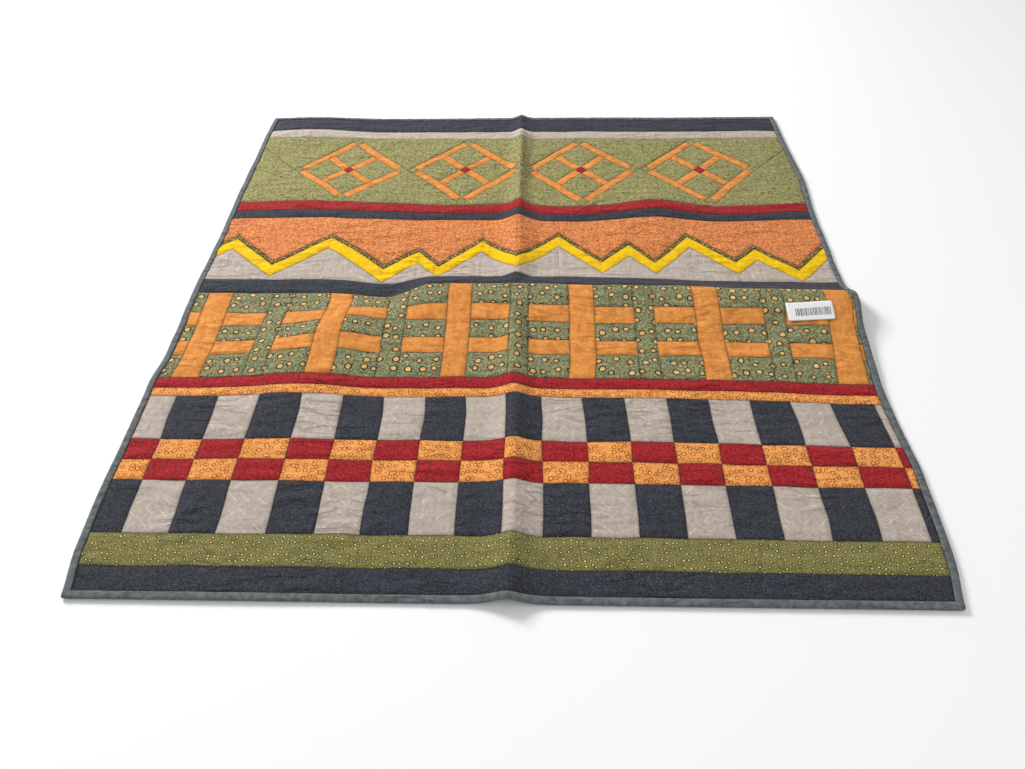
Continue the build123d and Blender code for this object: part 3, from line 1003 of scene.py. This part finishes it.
def cloth(print_name, threads=1500.0, painted_pucker_amount=0.12, painted_weave_shade=0.3, sheen=0.06, roughness=0.92,
          puckered=1.0, seam_painted_shade=0.0):
    """Make a woven material, or find it: print gives the colour; threads and painted shade go over it."""
    name = f"quilt_{print_name}"
    material = bpy.data.materials.get(name)
    if material:
        return material
    material = bpy.data.materials.new(name)
    material.use_nodes = True
    tree = material.node_tree
    tree.nodes.clear()
    place = node(tree, "UVMap", uv_map="cloth").outputs["UV"]
    weave = use_group(tree, "Plain Weave", Vector=place, Threads_per_Metre=threads)
    # Random painted shade standing in for the puckers
    painted_pucker_shade = use_group(tree, "Painted Pucker Shade", Vector=place, Amount=painted_pucker_amount)
    folds = use_group(tree, "Fine Puckers", Vector=place)
    # Painted shade between the threads
    woven = times_plus(tree, weave.outputs["Shade"], painted_weave_shade, 1 - painted_weave_shade * 0.5)
    painted_shades = [painted_pucker_shade.outputs["Shade"], woven]
    # Painted shade in the ditch of every seam
    if seam_painted_shade:
        ditch = node(tree, "Attribute", attribute_name="ditch").outputs["Fac"]
        painted_shades.append(times_plus(tree, ditch, -seam_painted_shade, 1.0))
    # Painted shade in the creases at the puckers' feet
    painted_shades.append(times_plus(tree, folds.outputs["Painted Crease Shade"], -CREASE_PAINTED_SHADE * puckered, 1.0))
    coloured = PRINTS[print_name](tree, place)
    for shade in painted_shades:
        coloured = mix(tree, 1.0, coloured, shade, "MULTIPLY")
    threads_high = times(tree, weave.outputs["Height"], WEAVE_RELIEF)
    height = times_plus(tree, folds.outputs["Height"], puckered, threads_high)
    relief = node(tree, "Bump", {"Strength": 1.0, "Distance": MM, "Height": height}).outputs["Normal"]
    finish = {"Base Color": coloured, "Roughness": roughness, "Normal": relief, "Sheen Weight": sheen,
              "Sheen Roughness": 0.5, "Specular IOR Level": 0.15}
    shader = node(tree, "BsdfPrincipled", finish)
    node(tree, "OutputMaterial", {"Surface": shader.outputs["BSDF"]})
    return material


def clouds(tree, place, scale, low, high, detail=4.0):
    """Mask of clouded dye."""
    made = use_group(tree, "Clouded Dye", Vector=place, Scale=scale, Low=low, High=high, Detail=detail)
    return made.outputs[0]


def scrolls(tree, place, scale, turns, line):
    """Mask of printed scrolls."""
    return use_group(tree, "Printed Scrolls", Vector=place, Scale=scale, Turns=turns, Line=line).outputs[0]


def layered(ground, *layers):
    """A print of masks over a ground: each layer has its mask's maker and settings, strength and colour."""
    def draw(tree, place):
        coloured = paint(ground)
        for mask, settings, strength, name in layers:
            shown = times(tree, mask(tree, place, *settings), strength)
            coloured = mix(tree, shown, coloured, paint(name))
        return coloured
    return draw


def draw_grey(tree, place):
    """Grey-mauve with pale dotted dashes on both diagonals."""
    ground = layered("grey", (clouds, (300.0, 0.35, 0.7), 0.3, "grey_dash"))(tree, place)
    return mix(tree, use_group(tree, "Dotted Dashes", Vector=place).outputs[0], ground, paint("grey_dash"))


def draw_grey_level(tree, place):
    """The same print cut on its other grain, so that its dashes run with and across the quilt."""
    turned = node(tree, "VectorRotate", {"Vector": place, "Angle": math.pi / 4}, rotation_type="Z_AXIS")
    return draw_grey(tree, turned.outputs[0])


def stronger(tree, first, first_strength, second, second_strength):
    """The stronger of two masks."""
    shown = times(tree, first, first_strength)
    return math_node(tree, "MAXIMUM", shown, times(tree, second, second_strength))


def draw_crimson(tree, place):
    """Crimson with a deeper print of the same tone."""
    lines, cloud = scrolls(tree, place, 160.0, 4.0, 0.2), clouds(tree, place, 330.0, 0.42, 0.64)
    deep = stronger(tree, lines, 0.7, cloud, 0.75)
    return mix(tree, deep, paint("crimson"), paint("crimson_deep"))


def draw_yellow(tree, place):
    """Yellow with warmer clouds."""
    cloud, grain = clouds(tree, place, 80.0, 0.45, 0.72), clouds(tree, place, 300.0, 0.5, 0.66)
    warm = stronger(tree, cloud, 0.6, grain, 0.6)
    return mix(tree, warm, paint("yellow"), paint("yellow_deep"))


def spotted(tree, place, pitch, radius, rim, scatter, share):
    """Masks of printed spots."""
    return use_group(tree, "Printed Spots", Vector=place, Spots_per_Metre=pitch, Radius=radius, Rim=rim,
                     Scatter=scatter, Share=share).outputs


def draw_green(tree, place):
    """Grey-green squiggles under tan spots with dark rims."""
    ground = layered("green", (clouds, (230.0, 0.5, 0.6, 2.0), 0.52, "berry"),
                     (scrolls, (135.0, 4.5, 0.22), 0.75, "green_line"))(tree, place)
    spots = spotted(tree, place, 44.0, 0.155, 0.09, 0.45, 1.0)
    rimmed = mix(tree, times(tree, spots["Ring"], 0.95), ground, paint("berry_ring"))
    spot = mix(tree, times(tree, spots["Shade"], 0.3), paint("berry"), paint("tan_deep"))
    return mix(tree, spots["Spot"], rimmed, spot)


def draw_apricot(tree, place):
    """Apricot with brown rings and scrolls."""
    rings = spotted(tree, place, 98.0, 0.21, 0.1, 0.8, 0.95)
    lines = scrolls(tree, place, 150.0, 3.5, 0.13)
    outside = math_node(tree, "MAXIMUM", minus(tree, lines, rings["Spot"]), 0.0)
    drawn = mix(tree, times(tree, outside, 0.6), paint("apricot"), paint("coral_line"))
    return mix(tree, rings["Ring"], drawn, paint("apricot_ring"))


def draw_moss(tree, place):
    """Moss green with tiny cream dots and dark flecks."""
    ground = layered("moss", (scrolls, (170.0, 4.0, 0.2), 0.85, "olive_leaf"))(tree, place)
    dots = spotted(tree, place, 112.0, 0.125, 0.12, 0.66, 0.95)
    ground = mix(tree, times(tree, dots["Ring"], 0.9), ground, paint("green_line"))
    return mix(tree, times(tree, dots["Spot"], 0.95), ground, paint("moss_dot"))


PRINTS = {
    "charcoal": layered("charcoal", (scrolls, (170.0, 4.0, 0.17), 0.55, "charcoal_line"),
                        (clouds, (420.0, 0.42, 0.66), 0.4, "charcoal_line")),
    "grey": draw_grey,
    "grey_level": draw_grey_level,
    "olive": layered("olive", (clouds, (210.0, 0.5, 0.58, 2.0), 0.75, "olive_leaf"),
                     (scrolls, (150.0, 3.5, 0.16), 0.4, "moss_dot")),
    "tan": layered("tan", (clouds, (70.0, 0.36, 0.66, 6.0), 0.5, "tan_deep"),
                   (clouds, (380.0, 0.45, 0.65, 3.0), 0.35, "tan_deep")),
    "crimson": draw_crimson,
    "coral": layered("coral", (clouds, (210.0, 0.5, 0.57, 2.0), 0.4, "coral_line"),
                     (scrolls, (170.0, 4.5, 0.24), 0.8, "coral_line")),
    "piping": layered("piping", (clouds, (230.0, 0.52, 0.6, 2.0), 0.6, "berry")),
    "yellow": draw_yellow,
    "green": draw_green,
    "apricot": draw_apricot,
    "moss": draw_moss,
    "binding_slate": layered("slate", (clouds, (110.0, 0.35, 0.7), 0.5, "slate_deep")),
    "backing_slate": layered("backing", (clouds, (60.0, 0.35, 0.7), 0.3, "slate_deep")),
    "batting_white": layered("batting", (clouds, (180.0, 0.62, 0.7), 0.3, "berry")),
    "quilting_thread": layered("thread", (clouds, (300.0, 0.3, 0.7), 0.4, "charcoal")),
    "label_paper": layered("paper", (clouds, (400.0, 0.3, 0.7), 0.05, "ink")),
    "label_ink": layered("ink", (clouds, (500.0, 0.4, 0.8), 0.15, "paper")),
}

# Printed cloth and material slot of every piece of the top
TOP_CLOTHS = {
    "far_border": ("charcoal", "charcoal_print"), "near_border": ("charcoal", "charcoal_print"),
    "far_charcoal_strip": ("charcoal", "charcoal_print"),
    "checker_charcoal": ("charcoal", "charcoal_print"),
    "middle_charcoal_strip": ("charcoal", "charcoal_print"), "far_grey_strip": ("grey", "grey_print"),
    "zigzag_hills": ("grey_level", "grey_print"), "checker_grey": ("grey", "grey_print"),
    "diamond_ground": ("olive", "olive_mottled"), "diamond_bars": ("tan", "orange_tan"),
    "cross_bars": ("tan", "orange_tan"), "diamond_centres": ("crimson", "crimson"),
    "far_red_strip": ("crimson", "crimson"), "near_red_strip": ("crimson", "crimson"),
    "checker_red": ("crimson", "crimson"), "zigzag_sky": ("coral", "coral_print"),
    "zigzag_piping": ("piping", "piping_olive"), "zigzag_ribbon": ("yellow", "yellow"),
    "cross_ground": ("green", "green_dotted"), "near_orange_strip": ("apricot", "orange_ring_print"),
    "checker_orange": ("apricot", "orange_ring_print"), "dotted_olive_strip": ("moss", "olive_dotted"),
}


# ---- Operators ------------------------------------------------------------------------------

CAMERA_PLACE = (0.03669, -1.09620, 0.93684)
CAMERA_FORWARD = (-0.02950, 0.68111, -0.73159)
CAMERA_RIGHT = (0.99955, 0.02402, -0.01793)
CAMERA_LENS = 28.195
SKY_STRENGTH = 0.46
FLOOR_HALF = 6.0

# Name, place, size and power of each soft light
LIGHTS = (("key_light", (-2.6, 2.2, 2.1), 1.3, 172), ("fill_light", (1.4, -1.6, 2.4), 2.4, 16))


class QUILT_OT_stage(bpy.types.Operator):
    """Make the camera, the soft studio light and the pale floor"""

    bl_idname = "quilt.stage"
    bl_label = "Stage"

    def execute(self, context):
        scene = context.scene
        camera = bpy.data.objects.new("camera", bpy.data.cameras.new("camera"))
        forward, right = Vector(CAMERA_FORWARD), Vector(CAMERA_RIGHT)
        up = right.cross(forward)
        turn = Matrix((right, up, -forward)).transposed().to_4x4()
        camera.matrix_world = Matrix.Translation(CAMERA_PLACE) @ turn
        camera.data.sensor_width = 36
        camera.data.lens = CAMERA_LENS
        camera.data.clip_end = 50
        scene.collection.objects.link(camera)
        scene.camera = camera
        scene.view_settings.view_transform = "Standard"

        for light in LIGHTS:
            self.add_area(*light)
        world = bpy.data.worlds.new("studio")
        scene.world = world
        world.use_nodes = True
        sky = world.node_tree.nodes["Background"].inputs
        sky["Color"].default_value = (1, 1, 1, 1)
        sky["Strength"].default_value = SKY_STRENGTH

        mesh = bpy.data.meshes.new("floor")
        corners = [(x * FLOOR_HALF, y * FLOOR_HALF, 0) for x, y in ((-1, -1), (1, -1), (1, 1), (-1, 1))]
        mesh.from_pydata(corners, [], [(0, 1, 2, 3)])
        floor = bpy.data.objects.new("floor", mesh)
        material = bpy.data.materials.new("floor")
        material.use_nodes = True
        shader = material.node_tree.nodes["Principled BSDF"]
        shader.inputs["Base Color"].default_value = paint("floor")
        shader.inputs["Roughness"].default_value = 0.9
        mesh.materials.append(material)
        scene.collection.objects.link(floor)
        floor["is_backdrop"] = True
        return {"FINISHED"}

    @staticmethod
    def add_area(name, place, size, power):
        """Add a square soft light that faces the middle of the quilt."""
        light = bpy.data.lights.new(name, "AREA")
        light.size = size
        light.energy = power
        obj = bpy.data.objects.new(name, light)
        obj.location = place
        obj.rotation_euler = (-Vector(place)).to_track_quat("-Z", "Y").to_euler()
        bpy.context.scene.collection.objects.link(obj)


# The filling's inset from the quilt's edge, and its two faces above the backing's lift
BATTING_INSET = 2.5 * MM
BATTING_TOP = 2.05 * MM
BATTING_UNDERSIDE = 1.35 * MM


class QUILT_OT_batting(bpy.types.Operator):
    """Make the filling, closed all round, between the backing and the top"""

    bl_idname = "quilt.batting"
    bl_label = "Batting"

    def execute(self, context):
        reach_x, reach_y = OUTER_X - BATTING_INSET, OUTER_Y - BATTING_INSET
        columns, rows = round(2 * reach_x / (4 * MM)) + 1, round(2 * reach_y / (8 * MM)) + 1
        x, y = even_grid(reach_x, reach_y, columns, rows)
        lx, ly, lift = settle(*round_corners(x, y, OUTER_X, OUTER_Y, CORNER_RADIUS))
        high = np.stack([lx, ly, lift + BATTING_TOP], 1)
        low = np.stack([lx, ly, lift + BATTING_UNDERSIDE], 1)
        flat = np.stack([x, y], 1)
        obj = make_mesh("batting", np.concatenate([high, low]), slab_faces(rows, columns),
                        np.concatenate([flat, flat]), cloth("batting_white", painted_pucker_amount=0.05))
        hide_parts("batting_left", "batting_right")
        across_fold(obj)
        return {"FINISHED"}


# How far from a seam the backing feels it, and how the backing lies: its rise, dimples and ripple
SEAM_REACH = 12 * MM
BACKING_RISE = 0.05 * MM
BACKING_DIMPLE = 0.6 * MM
DIMPLE_REACH = 4 * MM
BACKING_RIPPLE = 0.3 * MM


def seam_depth(x, y):
    """Distance of places on the quilt from the nearest seam, up to a small reach."""
    nearest = np.full(x.shape, SEAM_REACH)
    for patches in PATCHES.values():
        for corners in patches:
            for start, end in sides_of(np.array(corners)):
                low, high = np.minimum(start, end) - SEAM_REACH, np.maximum(start, end) + SEAM_REACH
                close = np.nonzero((x > low[0]) & (x < high[0]) & (y > low[1]) & (y < high[1]))[0]
                run = end - start
                size = np.hypot(*run)
                run = run / size
                ox, oy = x[close] - start[0], y[close] - start[1]
                along = np.clip(ox * run[0] + oy * run[1], 0, size)
                gap = np.hypot(ox - along * run[0], oy - along * run[1])
                nearest[close] = np.minimum(nearest[close], gap)
    return nearest


class QUILT_OT_backing(bpy.types.Operator):
    """Make the backing cloth, dimpled under every quilted seam"""

    bl_idname = "quilt.backing"
    bl_label = "Backing"

    def execute(self, context):
        step = 4 * MM
        columns, rows = round(2 * INNER_X / step) + 1, round(2 * INNER_Y / step) + 1
        x, y = even_grid(INNER_X, INNER_Y, columns, rows)
        lx, ly, lift = settle(x, y)
        dimple = BACKING_DIMPLE * np.exp(-(seam_depth(x, y) / DIMPLE_REACH) ** 1.3)
        ripple = BACKING_RIPPLE * (1 + puckers(x, y))
        points = np.stack([lx, ly, lift + BACKING_RISE + dimple + ripple], 1)
        faces = grid_faces(rows, columns, downward=True)
        obj = make_mesh("backing", points, faces.tolist(), np.stack([x, y], 1),
                        cloth("backing_slate"))
        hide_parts("backing_left", "backing_right")
        across_fold(obj)
        return {"FINISHED"}


class QUILT_OT_top(bpy.types.Operator):
    """Make the pieced top: every strip, diamond, zigzag, cross and checker"""

    bl_idname = "quilt.top"
    bl_label = "Pieced Top"

    def execute(self, context):
        for name, (print_name, slot) in TOP_CLOTHS.items():
            # Painted shade in the seams, weaker on the olive print
            painted_seam_shade = OLIVE_PAINTED_SEAM_SHADE if print_name == "olive" else PLAIN_PAINTED_SEAM_SHADE
            top_piece(name, cloth(print_name, seam_painted_shade=painted_seam_shade), slot)
        return {"FINISHED"}


# The folded section in millimetres, from its turned-in edge on the top round to the underside: distance
# out from the top's edge, and height
BINDING_SECTION = ((0.0, 3.0), (0.0, 4.5), (0.6, 5.0), (2.2, 5.3), (4.6, 5.35), (7.0, 5.2), (9.2, 4.6),
                   (10.5, 3.7), (11.0, 2.7), (10.6, 1.6), (9.3, 0.8), (7.0, 0.4), (4.0, 0.25), (1.2, 0.3),
                   (0.0, 0.6))
BINDING_WIDTH = 11 * MM
BINDING_MIDDLE = 2.6 * MM


class QUILT_OT_binding(bpy.types.Operator):
    """Make the folded binding: a far and a near run over the fold, and a run on each side"""

    bl_idname = "quilt.binding"
    bl_label = "Binding"

    def execute(self, context):
        material = cloth("binding_slate", threads=1300.0, painted_weave_shade=0.4)
        self.run("far_binding", material, (0, 1), ("binding_far_left", "binding_far_right"), None)
        self.run("near_binding", material, (0, -1), ("binding_near_left", "binding_near_right"), None)
        self.run("left_binding", material, (-1, 0), ("binding_side_left",), LEFT)
        self.run("right_binding", material, (1, 0), ("binding_side_right",), RIGHT)
        return {"FINISHED"}

    @staticmethod
    def run(name, material, out, nodes, body):
        """Sweep the folded section along one side of the quilt, mitred at both corners."""
        offsets, heights = np.array(BINDING_SECTION).T * MM
        reach, other = (INNER_X, INNER_Y) if out[1] else (INNER_Y, INNER_X)
        shares = np.linspace(-1, 1, round(2 * reach / (2.5 * MM)) + 1)
        share, offset = (grid.ravel() for grid in np.meshgrid(shares, offsets, indexing="ij"))
        height = np.tile(heights, len(shares))
        along, away = share * (reach + offset), other + offset
        x, y = (along, away * out[1]) if out[1] else (away * out[0], along)
        lx, ly, lift = settle(*round_corners(x, y, OUTER_X, OUTER_Y, CORNER_RADIUS))
        middle = np.sin(np.pi * np.clip(offset / BINDING_WIDTH, 0, 1))
        tuck = drift(along / (7 * MM), offset / (9 * MM), 21)
        tuck = tuck + 0.6 * drift(along / (3.4 * MM), offset / (6 * MM), 22)
        upper = height > BINDING_MIDDLE
        height = height + np.where(upper, 0.45 * MM, 0.1 * MM) * tuck * (0.35 + 0.65 * middle)
        faces = grid_faces(len(shares), len(offsets), downward=True)
        if out[0] - out[1] < 0:
            faces = faces[:, ::-1]
        girth = np.concatenate([[0], np.cumsum(np.hypot(np.diff(offsets), np.diff(heights)))])
        flat = np.stack([along, other + np.tile(girth, len(shares))], 1)
        if not out[1]:
            flat = flat[:, ::-1]
        points = np.stack([lx, ly, lift + np.maximum(height, 0.1 * MM)], 1)
        obj = make_mesh(name, points, faces.tolist(), flat, material)
        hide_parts(*nodes)
        if body:
            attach(obj, body)
        else:
            across_fold(obj)


# Where the thread lies beside its seam and how thick it is, which seams have none, and one spindle's
# shape: the rise of its six points in millimetres, and its faces
STITCH_INSET = 0.8 * MM
STITCH_HALF_WIDTH = 0.22 * MM
SHORT_SEAM = 6 * MM
SEAM_ENDS = 3 * MM
SPINDLE_RISE = (-0.35, 0.12, 0.12, 0.34, -0.2, -0.35)
SPINDLE_FACES = ((0, 1, 3), (0, 3, 2), (5, 3, 1), (5, 2, 3), (0, 4, 1), (0, 2, 4), (5, 1, 4), (5, 4, 2))


class QUILT_OT_stitches(bpy.types.Operator):
    """Make the quilting stitches in the ditch of every seam"""

    bl_idname = "quilt.stitches"
    bl_label = "Quilting Stitches"

    def execute(self, context):
        s = sizes()
        starts, ends = [], []
        for patches in PATCHES.values():
            for corners in patches:
                corners = np.array(corners)
                middle = corners.mean(0)
                for start, end in sides_of(corners):
                    run = end - start
                    outward = np.array((run[1], -run[0]))
                    if np.dot(outward, (start + end) / 2 - middle) < 0:
                        outward = -outward
                    size = np.hypot(*run)
                    if outward[0] + 0.5 * outward[1] <= 0 or size < SHORT_SEAM:
                        continue
                    inset = -outward / size * STITCH_INSET
                    count = int((size - SEAM_ENDS) / s.stitch_pitch)
                    first = (size - count * s.stitch_pitch) / 2
                    for number in range(count):
                        at = first + (number + 0.5) * s.stitch_pitch
                        place = start + run / size * at + inset
                        half = run / size * s.stitch_length / 2
                        starts.append(place - half)
                        ends.append(place + half)
        for seam in CHECKER_SEAMS:
            far, near = SPANS["dotted_olive_strip"]
            for number in range(int((far - near - 4 * MM) / s.stitch_pitch)):
                y = far - 4 * MM - number * s.stitch_pitch
                starts.append(np.array((seam, y)))
                ends.append(np.array((seam, y - s.stitch_length)))
        self.build(np.array(starts), np.array(ends))
        return {"FINISHED"}

    @staticmethod
    def build(starts, ends):
        """Lay a small spindle of thread along every stitch."""
        run = ends - starts
        run = run / np.hypot(run[:, 0], run[:, 1])[:, None]
        side = np.stack([-run[:, 1], run[:, 0]], 1) * STITCH_HALF_WIDTH
        middle = (starts + ends) / 2
        flat = np.stack([starts, middle + side, middle - side, middle, middle, ends], 1)
        rise = np.array(SPINDLE_RISE) * MM
        faces = (np.array(SPINDLE_FACES)[None] + 6 * np.arange(len(starts))[:, None, None]).reshape(-1, 3)
        flat = flat.reshape(-1, 2)
        x, y, lift = settle(flat[:, 0], flat[:, 1])
        centre = np.repeat(middle, 6, axis=0)
        height = top_height(centre, np.full(len(flat), STITCH_INSET), np.zeros(len(flat), bool))
        points = np.stack([x, y, lift + height + np.tile(rise, len(starts))], 1)
        obj = make_mesh("quilting_stitches", points, faces[:, ::-1].tolist(), flat,
                        cloth("quilting_thread", sheen=0.1))
        across_fold(obj)


# The label's outline, its turn, its grid, its thickness, and its gap over the quilt's puff
LABEL_WIDTH = 76 * MM
LABEL_DEPTH = 36 * MM
LABEL_RADIUS = 2.5 * MM
LABEL_TURN = math.radians(4)
LABEL_GRID = (27, 15)
LABEL_THICK = 0.35 * MM
LABEL_GAP = 0.45 * MM

# Where the bars lie on the label: from and to along its width, the ends of the bars, their widths and gaps
BARS_FROM, BARS_TO = -25 * MM, 33 * MM
BAR_ENDS = (-9 * MM, 6 * MM)
BAR_WIDTHS = (0.5, 0.9, 1.3)
BAR_GAPS = (0.6, 0.9, 1.4)
BARS_RISE = 0.42 * MM


class QUILT_OT_label(bpy.types.Operator):
    """Make the stick-on price label and its printed bars"""

    bl_idname = "quilt.label"
    bl_label = "Price Label"

    def execute(self, context):
        low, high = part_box("price_label")
        middle = np.array(((low.x + high.x) / 2, (low.y + high.y) / 2))
        columns, rows = LABEL_GRID
        u, v = even_grid(LABEL_WIDTH / 2, LABEL_DEPTH / 2, columns, rows)
        u, v = round_corners(u, v, LABEL_WIDTH / 2, LABEL_DEPTH / 2, LABEL_RADIUS)
        points, flat = self.lay(middle, np.concatenate([u, u]), np.concatenate([v, v]),
                                np.repeat([LABEL_THICK, 0.02 * MM], len(u)))
        smooth_finish = {"painted_pucker_amount": 0.02, "painted_weave_shade": 0.0, "sheen": 0.0, "puckered": 0.05}
        paper = cloth("label_paper", roughness=0.55, **smooth_finish)
        label = make_mesh("label_sticker", points, slab_faces(rows, columns), flat, paper)
        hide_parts("price_label")
        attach(label, RIGHT)

        rng = np.random.default_rng(4)
        edge, corners = BARS_FROM, []
        for _ in range(sizes().label_bars):
            thick = rng.choice(BAR_WIDTHS) * MM
            if edge + thick > BARS_TO:
                break
            for low_v, high_v in pairwise(np.linspace(*BAR_ENDS, 9)):
                corners += [(edge, low_v), (edge + thick, low_v), (edge + thick, high_v), (edge, high_v)]
            edge += thick + rng.choice(BAR_GAPS) * MM
        corners = np.array(corners)
        points, flat = self.lay(middle, corners[:, 0], corners[:, 1], np.full(len(corners), BARS_RISE))
        faces = np.arange(len(corners)).reshape(-1, 4)
        ink = cloth("label_ink", roughness=0.5, **smooth_finish)
        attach(make_mesh("label_bars", points, faces.tolist(), flat, ink), RIGHT)
        return {"FINISHED"}

    @staticmethod
    def lay(middle, u, v, rise):
        """Put places on the label down on the quilt, stiffly over its puff."""
        x = middle[0] + u * math.cos(LABEL_TURN) - v * math.sin(LABEL_TURN)
        y = middle[1] + u * math.sin(LABEL_TURN) + v * math.cos(LABEL_TURN)
        lx, ly, lift = settle(x, y)
        return np.stack([lx, ly, lift + sizes().puff + LABEL_GAP + rise], 1), np.stack([x, y], 1)


class QUILT_PT_panel(bpy.types.Panel):
    """The quilt's sizes, colours and pieces"""

    bl_label = "Banded Lap Quilt"
    bl_space_type = "VIEW_3D"
    bl_region_type = "UI"
    bl_category = "Quilt"

    def draw(self, context):
        for settings in (context.scene.quilt_sizes, context.scene.quilt_colours):
            box = self.layout.box()
            for name in settings.__annotations__:
                box.prop(settings, name)
        for operator in OPERATORS:
            self.layout.operator(operator.bl_idname)


OPERATORS = (QUILT_OT_stage, QUILT_OT_batting, QUILT_OT_backing, QUILT_OT_top, QUILT_OT_binding,
             QUILT_OT_stitches, QUILT_OT_label)
CLASSES = (QuiltSizes, QuiltColours, *OPERATORS, QUILT_PT_panel)


def register():
    """Add the classes and the scene's settings."""
    for cls in CLASSES:
        bpy.utils.register_class(cls)
    bpy.types.Scene.quilt_sizes = PointerProperty(type=QuiltSizes)
    bpy.types.Scene.quilt_colours = PointerProperty(type=QuiltColours)


def unregister():
    """Take the classes and the settings away."""
    del bpy.types.Scene.quilt_colours
    del bpy.types.Scene.quilt_sizes
    for cls in reversed(CLASSES):
        bpy.utils.unregister_class(cls)


def main():
    """Make every piece."""
    register()
    bpy.ops.quilt.stage()
    bpy.ops.quilt.batting()
    bpy.ops.quilt.backing()
    bpy.ops.quilt.top()
    bpy.ops.quilt.binding()
    bpy.ops.quilt.stitches()
    bpy.ops.quilt.label()
    boxes = {"cad": CAD_BOX, "visual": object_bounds()}
    plain = {name: [[float(value) for value in corner] for corner in box] for name, box in boxes.items()}


if __name__ == "__main__":
    main()
